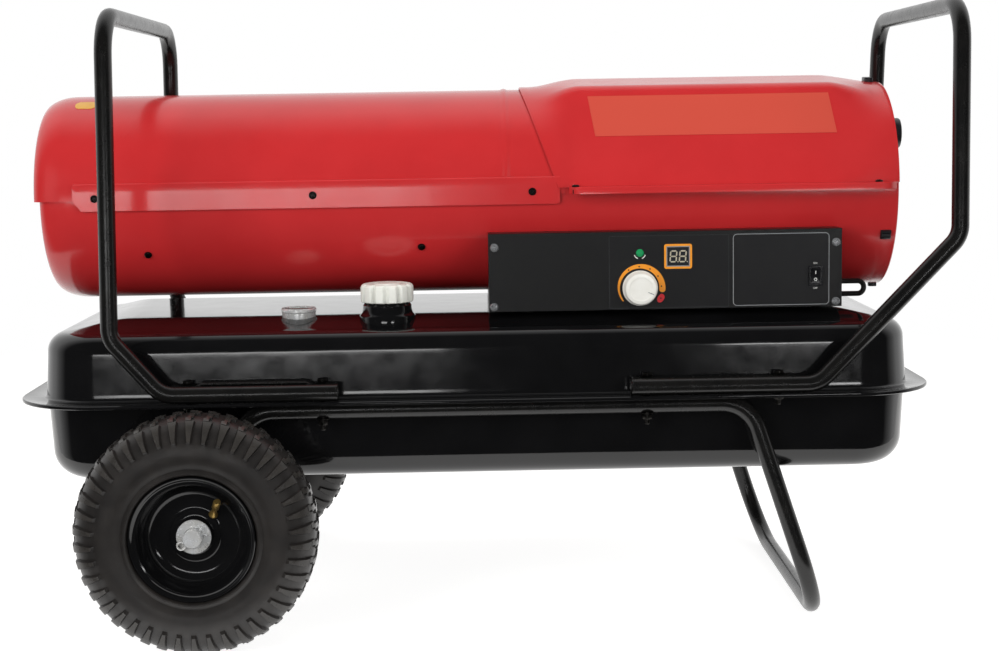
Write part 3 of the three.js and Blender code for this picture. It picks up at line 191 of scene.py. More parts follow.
def tidied(thing, inside=None):
    """Merges doubles, turns the faces outwards and smooths what isn't an edge."""
    alone(thing)
    all_edit(lambda: bpy.ops.mesh.remove_doubles(threshold=2e-6),
             lambda: bpy.ops.mesh.delete_loose(),
             lambda: bpy.ops.mesh.select_all(action="SELECT"),
             lambda: bpy.ops.mesh.normals_make_consistent(inside=False))
    if inside is not None:
        core = Vector(inside) * MM
        flux = sum(f.area * f.normal.dot(f.center - core) for f in thing.data.polygons)
        if flux < 0:
            all_edit(bpy.ops.mesh.flip_normals)
    bpy.ops.object.shade_smooth_by_angle(angle=SMOOTH)
    return thing


def modified(thing, kind, **settings):
    """Adds one modifier and applies it."""
    alone(thing)
    bpy.ops.object.modifier_add(type=kind)
    modifier = thing.modifiers[-1]
    for key, value in settings.items():
        setattr(modifier, key, value)
    bpy.ops.object.modifier_apply(modifier=modifier.name)
    return thing


def eased(thing, width=0.4, segments=2, angle=32):
    """Rounds the edges as a real one is rounded: width in millimetres."""
    modified(thing, "BEVEL", width=width * MM, segments=segments, limit_method="ANGLE",
             angle_limit=math.radians(angle), harden_normals=False)
    bpy.ops.object.shade_smooth_by_angle(angle=SMOOTH)
    return thing


def turned(name, profile, axis, centre, steps=64, width=0.0):
    """A turned piece: its closed (radius, height) outline spun round an axis through centre."""
    bpy.ops.object.select_all(action="DESELECT")
    bpy.ops.mesh.primitive_circle_add(vertices=len(profile), radius=1, fill_type="NOTHING")
    thing = bpy.context.object
    thing.name = thing.data.name = name
    place = Vector(centre)
    arm, along = {"X": ((0, 0, 1), (1, 0, 0)), "Y": ((1, 0, 0), (0, 1, 0)), "Z": ((1, 0, 0), (0, 0, 1))}[axis]
    for vertex, (r, h) in zip(thing.data.vertices, profile):
        vertex.co = (place + Vector(arm) * r + Vector(along) * h) * MM
    all_edit(lambda: bpy.ops.mesh.spin(steps=steps, angle=2 * math.pi, center=place * MM, axis=along,
                                       use_auto_merge=False))
    tidied(thing)
    return eased(thing, width) if width else thing


def finish(thing, slot, material, *replaces, body="heater_body"):
    """Gives a piece its material and body and hides the solids it stands for; None keeps its own materials.
    The slot is not used.
    """
    if material:
        thing.data.materials.clear()
        thing.data.materials.append(material)
    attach(thing, body)
    if replaces:
        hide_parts(*replaces)


def grainy(tree, size_mm, detail=2.0, roughness=0.5):
    """Noise whose grain is about size_mm across, in object coordinates."""
    place = add(tree, "TexCoord").outputs["Object"]
    return add(tree, "TexNoise", {"Vector": place, "Scale": 1000 / size_mm, "Detail": detail,
                                  "Roughness": roughness}).outputs["Fac"]


def shaded(name, colour, worn, patch_mm, rough, bumps, **inputs):
    """A surface whose colour drifts between two shades in patches, with bumps (mm, height mm)."""
    made, tree = bare_material(name)
    patch = add(tree, "MapRange", {0: grainy(tree, patch_mm, 4.0, 0.6), 1: 0.35, 2: 0.75})
    mix = add(tree, "Mix", {0: patch.outputs[0], 6: linear(colour), 7: linear(worn)}, data_type="RGBA")
    spread = add(tree, "MapRange", {0: grainy(tree, patch_mm * 0.4, 5.0, 0.6), 1: 0.3, 2: 0.7, 3: rough[0],
                                    4: rough[1]})
    normal = {}
    for size_mm, height_mm in bumps:
        bump = add(tree, "Bump", {"Height": grainy(tree, size_mm), "Distance": height_mm * MM, **normal})
        normal = {"Normal": bump.outputs[0]}
    skin = add(tree, "BsdfPrincipled", {"Base Color": mix.outputs[2], "Roughness": spread.outputs[0],
                                        **normal, **inputs})
    add(tree, "OutputMaterial", {"Surface": skin.outputs[0]})
    return made


# Natural rubber, moulded: nearly black, dull with a faint sheen, a little dusty in patches.
rubber = shaded("moulded_tyre_rubber", "#1e1c1b", "#2a2725", 22, (0.36, 0.5), [(1.6, 0.03), (7, 0.08)],
                IOR=1.52)
# The same rubber rubbed smooth where the tread's blocks meet the floor; its lighter colour on all raised lugs
# and blocks is a painted highlight.
smooth_rubber_painted_highlight = shaded("polished_tyre_rubber_painted_highlight", "#2d2b29", "#383532", 14, (0.24, 0.34), [(2.5, 0.02)], IOR=1.52)
# Baked enamel on pressed steel: deep gloss with a trace of ripple left by the press.
black_enamel = shaded("black_baked_enamel", "#0b0b0c", "#101011", 60, (0.07, 0.13),
                      [(85, 0.35), (1.8, 0.004)], IOR=1.5, **{"Coat Weight": 0.15, "Coat Roughness": 0.04})
# Epoxy powder coat on tube: black, a softer gloss, with fine orange peel.
black_powder = shaded("black_powder_coat", "#0d0d0d", "#161514", 30, (0.2, 0.3), [(1.5, 0.004)], IOR=1.5)
zinc_plate = shaded("bright_zinc_plate", "#dcdee0", "#cfcdc8", 14, (0.2, 0.32), [(3.0, 0.006)], Metallic=0.5)
brass = shaded("drawn_brass", "#a88d50", "#85693a", 6, (0.22, 0.38), [(0.8, 0.005)], Metallic=0.8)
nylon = shaded("turned_nylon", "#d8d4c6", "#bdb7a6", 8, (0.4, 0.55), [(1.0, 0.01)], IOR=1.53)
LUGS, LUG_COLUMNS = 42, 8
LUG_MIDDLE = 3.5  # middle of a lug, in columns
LUG_IN, LUG_OUT, SHOULDER_Y = 101.9, 122.5, 26  # radii that the side lugs span, and where the side begins
TREAD_R, TREAD_ROW = 124.3, 6.5  # radius from which the blocks stand, and the width of a row of them


def tyre(name, side):
    """A turned casing; its faces at lugs and tread blocks are then raised with tapered sides."""
    centre_y = side * WHEEL_Y
    half = [(127.6, 0), (127.6, 6.5), (127.2, 13), (126, 19.5), (123, 25), (119.4, 29.8), (114.4, 34),
            (108.9, 36.9), (104.6, 38.4), (101.8, 40.1), (97, 41.2), (91, 41.8), (85.5, 41.4), (81, 40.2),
            (77.5, 38.4), (75, 37.2), (73.4, 38.2), (71.6, 39), (70, 38.6), (68.4, 37), (67.4, 34),
            (67.4, 25), (74, 29), (84, 33), (98, 36.5), (110, 34), (119, 24), (122, 10), (122, 0)]
    outline = half + [(r, -h) for r, h in reversed(half[1:-1])]
    thing = turned(name, outline, "Y", (WHEEL_X, centre_y, WHEEL_Z), LUGS * LUG_COLUMNS)
    raised = {"lug": [], "block": []}
    for face in thing.data.polygons:
        x, y, z = face.center / MM
        radius = math.hypot(x - WHEEL_X, z - WHEEL_Z)
        lateral = y - centre_y
        turn = (math.atan2(z - WHEEL_Z, x - WHEEL_X) / (2 * math.pi) % 1) * LUGS
        column = int(turn % 1 * LUG_COLUMNS)
        outside = radius > 121 or abs(lateral) > 34.5 or radius > 112 and abs(lateral) > 30
        if LUG_IN < radius < LUG_OUT and abs(lateral) > SHOULDER_Y and outside:
            if 1 <= column <= 5:
                raised["lug"].append(face.index)
        elif radius > TREAD_R:
            row = round(abs(lateral) / TREAD_ROW)
            shift = (0, 3, 6, 1)[row % 4]
            if (column + shift) % 4 < 3 and row % 2 == (column + shift) // 4 % 2:
                raised["block"].append(face.index)
    for vertex in thing.data.vertices:  # draws the columns together so that each lug narrows inwards
        x, z = vertex.co.x / MM - WHEEL_X, vertex.co.z / MM - WHEEL_Z
        radius, turn = math.hypot(x, z), math.atan2(z, x) / (2 * math.pi) * LUGS
        if 98 < radius < 124 and abs(vertex.co.y / MM - centre_y) > SHOULDER_Y:
            step = (turn % 1 * LUG_COLUMNS - LUG_MIDDLE + 4) % LUG_COLUMNS - 4
            share = 1 - 0.42 * min(1, (124 - radius) / 22)
            reach = min(abs(step), 2.5) * share + max(0, abs(step) - 2.5) * (4 - 2.5 * share) / 1.5
            angle = (turn + (math.copysign(reach, step) - step) / LUG_COLUMNS) / LUGS * 2 * math.pi
            vertex.co.x = (WHEEL_X + radius * math.cos(angle)) * MM
            vertex.co.z = (WHEEL_Z + radius * math.sin(angle)) * MM
    for material in (rubber, smooth_rubber_painted_highlight):
        thing.data.materials.append(material)
    for kind, height, taper in (("lug", 3.9, 1.3), ("block", 2.4, 0.8)):
        alone(thing)
        bpy.ops.object.mode_set(mode="EDIT")
        bpy.ops.mesh.select_all(action="DESELECT")
        bpy.ops.object.mode_set(mode="OBJECT")
        for index in raised[kind]:
            thing.data.polygons[index].select = True
        bpy.ops.object.mode_set(mode="EDIT")
        bpy.ops.mesh.select_mode(type="FACE")
        bpy.ops.mesh.inset(thickness=taper * MM, depth=height * MM, use_boundary=True, use_even_offset=False)
        bpy.ops.object.mode_set(mode="OBJECT")
        # raised faces take the lighter rubber: a painted highlight, so the grooves between read as shade
        for face in thing.data.polygons:
            face.material_index = 1 if face.select else face.material_index
    bpy.ops.object.shade_smooth_by_angle(angle=math.radians(28))
    return thing


RIM_HALF = [(14.3, 18), (18.2, 18), (19, 17.2), (19, 15), (20, 13.2), (22.5, 12.4), (24.6, 12.9),
            (26.2, 12.7), (27.4, 11.6), (30, 11.1), (40, 11.1), (46, 12.4), (50.5, 16), (53.6, 22),
            (56.2, 28.5), (58, 33), (59.2, 35.2), (60.6, 35.7), (62, 35.3), (63.4, 36.2), (64.6, 38.0),
            (65.8, 38.6), (66.8, 37.8), (67, 36), (67, 24), (63, 18.5), (63, 6)]
rim_outline = RIM_HALF + [(r, -h) for r, h in reversed(RIM_HALF)]

for where, side in SIDES:
    body = f"{where}_wheel"
    hub = (WHEEL_X, side * WHEEL_Y, WHEEL_Z)
    finish(tyre(f"{where}_moulded_tyre", side), "tyre_rubber", None, f"{where}_tyre", body=body)
    finish(turned(f"{where}_pressed_rim", rim_outline, "Y", hub, 96), "black_paint", black_enamel,
           f"{where}_rim", body=body)
    bush = [(10.3, -20.2), (16.6, -20.2), (17, -19.8), (17, -18.3), (14, -18.1), (14, 19.8), (13.6, 20.2),
            (10.3, 20.2)]
    finish(turned(f"{where}_nylon_bush", [(r, h * side) for r, h in bush], "Y", hub, 40), "nylon", nylon,
           f"{where}_hub_bush", body=body)
    stem = [(0, -1), (4.9, -1), (4.6, 1.4), (3.2, 3.4), (2.7, 9), (2.7, 11), (3.7, 11.4), (4, 12), (4, 21.6),
            (3.3, 23.4), (0, 23.6)]
    valve = turned(f"{where}_valve_cap", stem, "Z", (0, 0, 0), 28)
    lean = Vector((7, side * 15, 17)).to_track_quat("Z", "Y").to_matrix().to_4x4()
    root = Vector((WHEEL_X + 20, side * (WHEEL_Y + 12.5), WHEEL_Z + 22))
    valve.data.transform(Matrix.Translation(root * MM) @ lean)
    finish(valve, "brass", brass, f"{where}_tyre_valve", body=body)

# ---- axle, washers and split pins -----------------------------------------------------------
# A 20 mm zinc plated steel bar through both wheels. A thick washer closes each hub, and a bent
# split pin through the bar holds the washer on.
HUB_END = 273.6
shaft = [(0, -288.6), (9.2, -288.6), (10, -287.7), (10, 287.7), (9.2, 288.6), (0, 288.6)]
finish(turned("plated_axle", shaft, "Y", (WHEEL_X, 0, WHEEL_Z), 48), "zinc", zinc_plate, "axle")


def bend_points(corners, radii, steps=8):
    """The route of a bar bent to a radius at each inner corner."""
    at = [Vector(c) for c in corners]
    route = [at[0]]
    for i, radius in enumerate(radii, 1):
        back, ahead = (at[i - 1] - at[i]).normalized(), (at[i + 1] - at[i]).normalized()
        half = back.angle(ahead) / 2
        start = at[i] + back * (radius / math.tan(half))
        centre = at[i] + (back + ahead).normalized() * (radius / math.sin(half))
        out, along = start - centre, -back * radius
        for k in range(steps + 1):
            turn = (math.pi - 2 * half) * k / steps
            route.append(centre + out * math.cos(turn) + along * math.sin(turn))
    return route + [at[-1]]


def bar(name, route, r, sides=24, loop=False):
    """A round bar or tube along a route, with flat closed ends."""
    curve = bpy.data.curves.new(name, "CURVE")
    curve.dimensions, curve.bevel_depth, curve.bevel_resolution = "3D", r * MM, sides // 4 - 1
    curve.use_fill_caps = not loop
    spline = curve.splines.new("POLY")
    spline.points.add(len(route) - 1)
    for point, place in zip(spline.points, route):
        point.co = (*(Vector(place) * MM), 1)
    spline.use_cyclic_u = loop
    thing = bpy.data.objects.new(name, curve)
    bpy.context.scene.collection.objects.link(thing)
    alone(thing)
    bpy.ops.object.convert(target="MESH")
    return tidied(bpy.context.object)


def joined(name, *things):
    """Several bodies of one piece made one object."""
    alone(things[0])
    for thing in things[1:]:
        thing.select_set(True)
    if len(things) > 1:
        bpy.ops.object.join()
    things[0].name = things[0].data.name = name
    return things[0]


def split_pin(name, side):
    """Drawn at the hub's centre plane, then leaned and moved to the axle's hole."""
    turns = [math.radians(28 + 304 * k / 20) for k in range(21)]
    eye = [(-15.5 + 4.2 * math.cos(a), 0, 4.2 * math.sin(a)) for a in turns]
    route = [(14, side * 1.5, 5.5), (8, 0.4 * side, 1.5), (-11, 0, 1.0)] + eye + \
            [(-11, 0, -1.0), (9, 0, -1.2), (15, side * 3, -6)]
    pin = bar(name, route, 1.15, 12)
    lean = Matrix.Rotation(math.radians(-33), 4, "Y")
    pin.data.transform(Matrix.Translation(Vector((WHEEL_X, side * 279.0, WHEEL_Z)) * MM) @ lean)
    return pin


for where, side in SIDES:
    ring = [(10.3, 0), (17.6, 0), (18.5, 0.8), (18.5, 2.2), (17.6, 3), (10.3, 3)]
    place = (WHEEL_X, side * HUB_END, WHEEL_Z)
    finish(turned(f"{where}_plain_washer", [(r, h * side) for r, h in ring], "Y", place, 64), "zinc",
           zinc_plate, f"{where}_wheel_washer")
    finish(split_pin(f"{where}_split_pin", side), "zinc", zinc_plate, f"{where}_cotter_pin")

# ---- base frame -----------------------------------------------------------------------------
# One 19 mm steel tube bent round under the tank: each end is welded to a boss that carries the
# axle, and the bend at the back is the foot. Powder coated black.
FRAME_R, FRAME_Z, FRAME_Y = 9.5, 250.5, 199.0


def mirrored_route(points):
    """Both sides of a frame: the near half, then the far half in the opposite order."""
    near = [(x, -y, z) for x, y, z in points]
    return near + list(reversed(points))


frame_corners = mirrored_route([(-319.75, 188, 118), (-262, FRAME_Y, FRAME_Z), (284.6, FRAME_Y, FRAME_Z),
                                (362, 215, 8.6)])
tube = bar("frame_tube", bend_points(frame_corners, [42, 42, 75, 75, 42, 42], 10), FRAME_R, 28)
alone(tube)
all_edit(lambda: bpy.ops.mesh.bisect(plane_co=(0, 0, 0), plane_no=(0, 0, 1), use_fill=True, clear_inner=True))
bosses = []
for side in (-1, 1):
    outline = [(10.3, 0), (14.2, 0), (15, -0.8), (15, -49), (14.2, -49.8), (10.3, -49.8)]
    bosses.append(turned("boss", [(r, h * side) for r, h in outline], "Y",
                         (WHEEL_X, side * 232.4, WHEEL_Z), 40))
finish(joined("bent_base_frame", tube, *bosses), "black_paint", black_powder, "base_frame")

# ---- push handles ---------------------------------------------------------------------------
# Two 19 mm tube hoops over the ends of the barrel. A folded strip welded along the inside of
# each foot takes the bolts, and the open tube ends have plastic plugs.
HANDLE_R, HANDLE_Z, HANDLE_Y = 9.5, 272.5, 218.0
STRIP_Y0, STRIP_Z0, STRIP_T = 196.0, 278.0, 2.5
BOLT_Y = 202.0
HANDLES = {
    "front": {"end": -164.5, "heel": -352.5, "knee": (-406.5, 334), "top": (-401.5, 210, 679),
              "bolts": (-327, -181), "rise": 4.5, "plug": 1},
    "rear": {"end": 155.5, "heel": 356.5, "knee": (508.5, 430), "top": (513, 198, 678),
             "bolts": (316, 172.5), "rise": 0.0, "plug": -1},
}


def sheet_from(name, rows, thickness, inside=None, offset=-1.0):
    """A formed sheet: a grid whose crossings stand at the rows of points, then its thickness."""
    thing = shaped_grid(name, rows)
    tidied(thing, inside=inside)
    modified(thing, "SOLIDIFY", thickness=thickness * MM, offset=offset, use_even_offset=True)
    bpy.ops.object.shade_smooth_by_angle(angle=SMOOTH)
    return thing


def shaped_grid(name, rows):
    """A primitive grid moved crossing by crossing to the rows of points, in millimetres."""
    bpy.ops.object.select_all(action="DESELECT")
    count = len(rows[0])
    bpy.ops.mesh.primitive_grid_add(x_subdivisions=count - 1, y_subdivisions=len(rows) - 1, size=1)
    thing = bpy.context.object
    thing.name = thing.data.name = name
    for index, vertex in enumerate(thing.data.vertices):
        vertex.co = Vector(rows[index // count][index % count]) * MM
    return thing


def fixing_strip(side, bolts, rise):
    """Flat under the bolts, raised between them where the real strip is set over the flange."""
    x0, x1 = min(bolts), max(bolts)
    stations = [(x0 - 16, 1.5), (x0 - 11, 0), (x0 + 9, 0), (x0 + 17, rise), (x1 - 17, rise), (x1 - 9, 0),
                (x1 + 11, 0), (x1 + 16, 1.5)]
    rows = [[(x, side * y, STRIP_Z0 + STRIP_T + lift) for y in (STRIP_Y0, 204, 210, 215.5)]
            for x, lift in stations]
    strip = sheet_from("strip", rows, STRIP_T, inside=((x0 + x1) / 2, side * 206, 0))
    return eased(strip, 0.8, 3)


for where, h in HANDLES.items():
    corners = mirrored_route([(h["end"], HANDLE_Y, HANDLE_Z), (h["heel"], HANDLE_Y, HANDLE_Z),
                              (h["knee"][0], HANDLE_Y, h["knee"][1]), h["top"]])
    hoop = bar("hoop", bend_points(corners, [30, 30, 45, 45, 30, 30], 10), HANDLE_R, 28)
    parts = [hoop]
    for side in (-1, 1):
        parts.append(fixing_strip(side, h["bolts"], h["rise"]))
        for x in h["bolts"]:
            sleeve = [(3.3, 263), (5.6, 263), (5.6, 279.5), (3.3, 279.5)]
            parts.append(turned("sleeve", sleeve, "Z", (x, side * BOLT_Y, 0), 20))
        cap = [(0, -2), (8.2, -2), (9.7, -0.1), (9.7, 1.2), (8.4, 2.4), (0, 2.4)]
        parts.append(turned("end_plug", [(r, d * h["plug"]) for r, d in cap], "X",
                            (h["end"], side * HANDLE_Y, HANDLE_Z), 32))
    finish(joined(f"{where}_push_handle", *parts), "black_paint", black_powder, f"{where}_handle")

# ---- handle bolts ---------------------------------------------------------------------------
# M6 hexagon bolts, blackened, down through strip, flange and on the inner pair the frame tube,
# with a plain washer and nut below.
blackened = shaded("blackened_steel", "#2c2b2a", "#5c5a57", 3, (0.25, 0.45), [(0.8, 0.01)], Metallic=1.0)


def cylinder(sides, r, depth, centre, tilt=0.0):
    """A plain cylinder, upright unless tilted about X, with its place and turn applied."""
    bpy.ops.object.select_all(action="DESELECT")
    bpy.ops.mesh.primitive_cylinder_add(vertices=sides, radius=r * MM, depth=depth * MM,
                                        rotation=(tilt, 0, 0), location=Vector(centre) * MM)
    bpy.ops.object.transform_apply(location=True, rotation=True, scale=True)
    return bpy.context.object


def hexagon(across, z0, z1, x, y):
    """A chamfered hexagon head or nut."""
    return eased(cylinder(6, across / math.sqrt(3), z1 - z0, (x, y, (z0 + z1) / 2)), 0.6)


for where, side in SIDES:
    for place, x, low in (("front_outer", -327, 260.3), ("front_inner", -181, 241),
                          ("rear_inner", 172.5, 241), ("rear_outer", 316, 260.3)):
        y = side * BOLT_Y
        shank = [(0, low - 12), (2.5, low - 12), (3, low - 11.3), (3, 283), (0, 283)]
        washer = [(3.3, 280.6), (7, 280.6), (7, 281.6), (3.3, 281.6)]
        under = [(r, low - 281.2 + h + 0.3) for r, h in washer]
        parts = [turned("shank", shank, "Z", (x, y, 0), 20), turned("washer", washer, "Z", (x, y, 0), 32),
                 turned("washer", under, "Z", (x, y, 0), 32), hexagon(10, 281.6, 285.8, x, y),
                 hexagon(10, low - 6.2, low - 1.3, x, y)]
        finish(joined(f"{where}_{place}_hex_bolt", *parts), "zinc", blackened, f"{where}_{place}_bolt")

# ---- fuel tank ------------------------------------------------------------------------------
# Two deep-drawn steel halves, seam welded at a wide flange whose upper sheet is hemmed over the
# lower, then enamelled gloss black. Holes are pierced for the neck, the gauge and the drain.
TANK_X0, TANK_X1, TANK_CORNER = -495.5, 470.5, 65.0
FLANGE = {"outlet": 27 / 32, "intake": 23.5 / 32, "side": 33 / 32}  # width at each wall, against the hem's
SHEET = 1.2


def plan_outline(grow, half_y, z, steps=9):
    """The tank's rounded rectangle, grown outwards by so much, at one height."""
    radius = max(TANK_CORNER + grow, 6)
    ring = []
    for quarter, (cx, cy) in enumerate(((TANK_X1, half_y), (TANK_X0, half_y), (TANK_X0, -half_y),
                                        (TANK_X1, -half_y))):
        sx, sy = (1 if cx > 0 else -1), (1 if cy > 0 else -1)
        end, side = (FLANGE["intake" if sx > 0 else "outlet"], FLANGE["side"]) if grow > 0 else (1, 1)
        px, py = cx + sx * (grow * end - radius), cy + sy * (grow * side - radius)
        for k in range(steps + 1):
            a = math.pi / 2 * (quarter + k / steps)
            ring.append((px + radius * math.cos(a), py + radius * math.sin(a), z))
    return ring + ring[:1]


def cut_by(thing, cutter):
    """Takes a cutter out of a piece, and the cutter away."""
    modified(thing, "BOOLEAN", operation="DIFFERENCE", object=cutter, solver="EXACT")
    bpy.data.objects.remove(cutter)
    return alone(thing)


def drawn_half(name, half_y, outline, seam_z, far_z, fillet, crown, holes):
    """Flange outline first, then up the drafted wall, over the round and onto the crowned flat."""
    up = 1 if far_z > seam_z else -1
    steps, draft, bend = 10, 3.0, 3.5
    turns = [math.pi / 2 * k / 4 for k in range(5)]
    rows = outline + [(bend * (1 - math.sin(a)), seam_z + up * bend * (1 - math.cos(a))) for a in turns]
    rows += [(-0.3, seam_z + up * 8), (-draft + 0.2, far_z - up * (fillet + 4))]
    for k in range(steps + 1):
        a = math.pi / 2 * k / steps
        rows.append((-draft - fillet * (1 - math.cos(a)), far_z - up * fillet * (1 - math.sin(a))))
    rows += [(-draft - fillet - run, far_z + rise) for run, rise in crown]
    thing = tidied(shaped_grid(name, [plan_outline(grow, half_y, z) for grow, z in rows]))
    bpy.ops.object.mode_set(mode="EDIT")
    bpy.ops.mesh.select_mode(type="EDGE")
    bpy.ops.mesh.select_all(action="DESELECT")
    bpy.ops.object.mode_set(mode="OBJECT")
    for edge in thing.data.edges:
        edge.select = all(abs(thing.data.vertices[v].co.z - rows[-1][1] * MM) < 1e-6 for v in edge.vertices)
    bpy.ops.object.mode_set(mode="EDIT")
    bpy.ops.mesh.edge_face_add()
    bpy.ops.object.mode_set(mode="OBJECT")
    tidied(thing, inside=(0, 0, (seam_z + far_z) / 2))
    modified(thing, "SOLIDIFY", thickness=SHEET * MM, offset=-1.0, use_even_offset=True)
    for r, x, y in holes:
        cut_by(thing, cylinder(40, r, 20, (x, y, far_z)))
    bpy.ops.object.shade_smooth_by_angle(angle=SMOOTH)
    return thing


CAP_AT, GAUGE_AT, DRAIN_AT = (-112.0, -128.0), (-213.0, -112.0), (-60.0, -60.0)
hem = [(29.2, 259.4), (30.4, 259.0), (31.4, 259.6), (31.9, 261), (31.6, 262.4), (30.6, 263.2), (29, 263),
       (28, 262.7)]
# rise of the top, inwards of its round
CROWN = ((8, 1.2), (20, 3.8), (34, 6.9), (46, 8.9), (56, 9.7), (64, 9.9))
upper = drawn_half("drawn_tank_top", 194, hem, 262.7, 335, 22, CROWN, [(22.4, *CAP_AT), (16.4, *GAUGE_AT)])
finish(upper, "black_paint", black_enamel, "tank_upper")
lower = drawn_half("drawn_tank_bottom", 186, [(28.9, 261.4), (28.9, 260.3)], 260.3, 170, 32, (),
                   [(9.4, *DRAIN_AT)])
finish(lower, "black_paint", black_enamel, "tank_lower")

PLUG_Z = 169.7
drain = joined("hex_drain_plug", hexagon(22, PLUG_Z - 8, PLUG_Z - 1.4, *DRAIN_AT),
               turned("seal", [(8, 0), (14, 0), (14, -1.4), (8, -1.4)], "Z", (*DRAIN_AT, PLUG_Z), 40),
               turned("thread", [(0, 10), (8.2, 10), (9, 9.2), (9, -1), (0, -1)], "Z",
                      (*DRAIN_AT, PLUG_Z), 32))
finish(drain, "zinc", zinc_plate, "drain_plug")

# ---- filler neck, strainer and cap ----------------------------------------------------------
# A pressed neck crimped onto the tank top, a moulded gauze cup in it, and a twelve-lobed screw
# cap moulded in off-white polypropylene.
neck = [(20.8, 321.3), (22, 321.3), (22, 335.3), (31, 335.3), (31.4, 345.4), (31, 346.4), (29.8, 347.6),
        (28.6, 349.4), (27.6, 353), (27.2, 357.4), (25.6, 359.4), (23.6, 362), (23.2, 363.6), (24, 364.5),
        (23.6, 365.3), (20.8, 365.3)]
finish(turned("crimped_neck", neck, "Z", (*CAP_AT, 0), 64), "black_paint", black_enamel, "filler_neck")

polypropylene = shaded("offwhite_polypropylene", "#e0e1da", "#d6d7cf", 16, (0.34, 0.46), [(1.4, 0.01)],
                       IOR=1.49, **{"Subsurface Weight": 0.08, "Subsurface Radius": (0.004, 0.0035, 0.003)})
LOBES = 12
WEAVE_SCALE = 1000 / 2.4 / 20 * 3.14  # threads 2.4 mm apart
gauze, tree = bare_material("woven_nylon_gauze")
weave = [add(tree, "TexWave", {"Vector": add(tree, "TexCoord").outputs["Object"], "Scale": WEAVE_SCALE},
             bands_direction=way).outputs["Fac"] for way in ("Z", "DIAGONAL")]
net = add(tree, "Math", {0: weave[0], 1: weave[1]}, operation="MAXIMUM")
tone = add(tree, "Mix", {0: net.outputs[0], 6: linear("#6f6b5f"), 7: linear("#d9d5c8")}, data_type="RGBA")
cloth = add(tree, "BsdfPrincipled", {"Base Color": tone.outputs[2], "Roughness": 0.6,
            "Normal": add(tree, "Bump", {"Height": net.outputs[0], "Distance": 0.3 * MM}).outputs[0]})
add(tree, "OutputMaterial", {"Surface": cloth.outputs[0]})
cup = [(0, 289.6), (16.6, 289.6), (17.6, 290.4), (20.1, 364.9), (20.4, 365.7), (23.4, 365.7), (23.8, 366.2),
       (23.4, 366.7), (19, 366.7), (18.4, 365), (16.2, 291), (0, 291)]
finish(turned("gauze_strainer", cup, "Z", (*CAP_AT, 0), 48), "nylon", gauze, "fuel_strainer")


def fluted(name, profile, steps, flute, place):
    """A closed (radius, height) outline turned, less what flute cuts at each angle; place sets the point."""
    rows = []
    for r, h in profile:
        turns = [2 * math.pi * k / steps for k in range(steps + 1)]
        reaches = [(a, r - flute(r, h, a)) for a in turns]
        rows.append([place(reach * math.cos(a), reach * math.sin(a), h) for a, reach in reaches])
    return tidied(shaped_grid(name, rows + rows[:1]))


def lobed_cap():
    """The outline goes up the outside wall, over the top and down the inside of the skirt."""
    wall = [(28.4, 361.0), (29.7, 362.0), (29.7, 377.6), (28.6, 379.8), (26.6, 381.2), (24.6, 381.6),
            (22.6, 380.9), (20.8, 379.9), (15.5, 379.6), (14.4, 380.6), (12.6, 381.9), (8, 382), (0.01, 382)]
    inner = [(0.01, 367.9), (24.4, 367.9), (25.0, 367), (25.0, 361.6), (25.6, 361)]

    def notch(r, z, a):
        """How deep the hollows between the lobes go into the wall."""
        deep = max(0.0, (r - 24) / 5.7) if (r, z) in wall else 0
        return 3.4 * deep * max(0.0, math.cos(LOBES * a)) ** 2.2

    return fluted("lobed_fuel_cap", wall + inner, LOBES * 12, notch,
                  lambda u, v, z: (CAP_AT[0] + u, CAP_AT[1] + v, z))


finish(lobed_cap(), "white_plastic", polypropylene, "fuel_cap", body="cap")

# ---- fuel gauge -----------------------------------------------------------------------------
# A float gauge let into the tank top: plated can with a rolled rim, a printed dial under glass,
# a red pointer, and a wire arm with a hollow brass float inside the tank.
can = [(0, 323.3), (16, 323.3), (16, 335.3), (18.6, 335.3), (19, 336), (19, 348.6), (19.2, 349.4),
       (20, 350.2), (20, 352.6), (19, 354), (17.6, 354), (17, 353), (16.8, 349.3), (0, 349.3)]
gauge = turned("gauge_can", can, "Z", (*GAUGE_AT, 0), 64)


def block(size, centre):
    """A plain block with its place and size applied."""
    bpy.ops.object.select_all(action="DESELECT")
    bpy.ops.mesh.primitive_cube_add(size=1, location=Vector(centre) * MM, scale=Vector(size) * MM)
    bpy.ops.object.transform_apply(location=True, rotation=True, scale=True)
    return bpy.context.object


ears = [eased(block((8, 2, 34), (GAUGE_AT[0], GAUGE_AT[1] + dy, 307.3)), 0.6) for dy in (-4, 4)]
finish(joined("plated_gauge_can", gauge, *ears), "zinc", zinc_plate, "fuel_gauge_body")

dial_card = shaded("printed_dial_card", "#ded9cc", "#cbc4b4", 5, (0.4, 0.5), [(0.7, 0.004)], IOR=1.5)
red_ink = shaded("red_dial_ink", "#b3202a", "#8d1a20", 4, (0.35, 0.45), [(0.7, 0.004)], IOR=1.5)
disc = turned("dial", [(0, 349.4), (15.6, 349.4), (15.6, 349.9), (0, 349.9)], "Z", (*GAUGE_AT, 0), 48)
finish(disc, "zinc", dial_card)


def swept_plate(name, outline, z0, z1, place, axis="Z"):
    """A flat outline given its thickness; axis Z lies flat, axis Y stands facing the near side."""
    bpy.ops.object.select_all(action="DESELECT")
    bpy.ops.mesh.primitive_circle_add(vertices=len(outline), radius=1, fill_type="NGON")
    thing = bpy.context.object
    thing.name = thing.data.name = name
    for vertex, (u, v) in zip(thing.data.vertices, outline):
        vertex.co = Vector((u, v, z0)) * MM
    all_edit(lambda: bpy.ops.mesh.extrude_region_move(
        TRANSFORM_OT_translate={"value": (0, 0, (z1 - z0) * MM)}))
    turn = Matrix.Identity(4) if axis == "Z" else Matrix.Rotation(math.pi / 2, 4, "X")
    thing.data.transform(Matrix.Translation(Vector(place) * MM) @ turn)
    return tidied(thing)


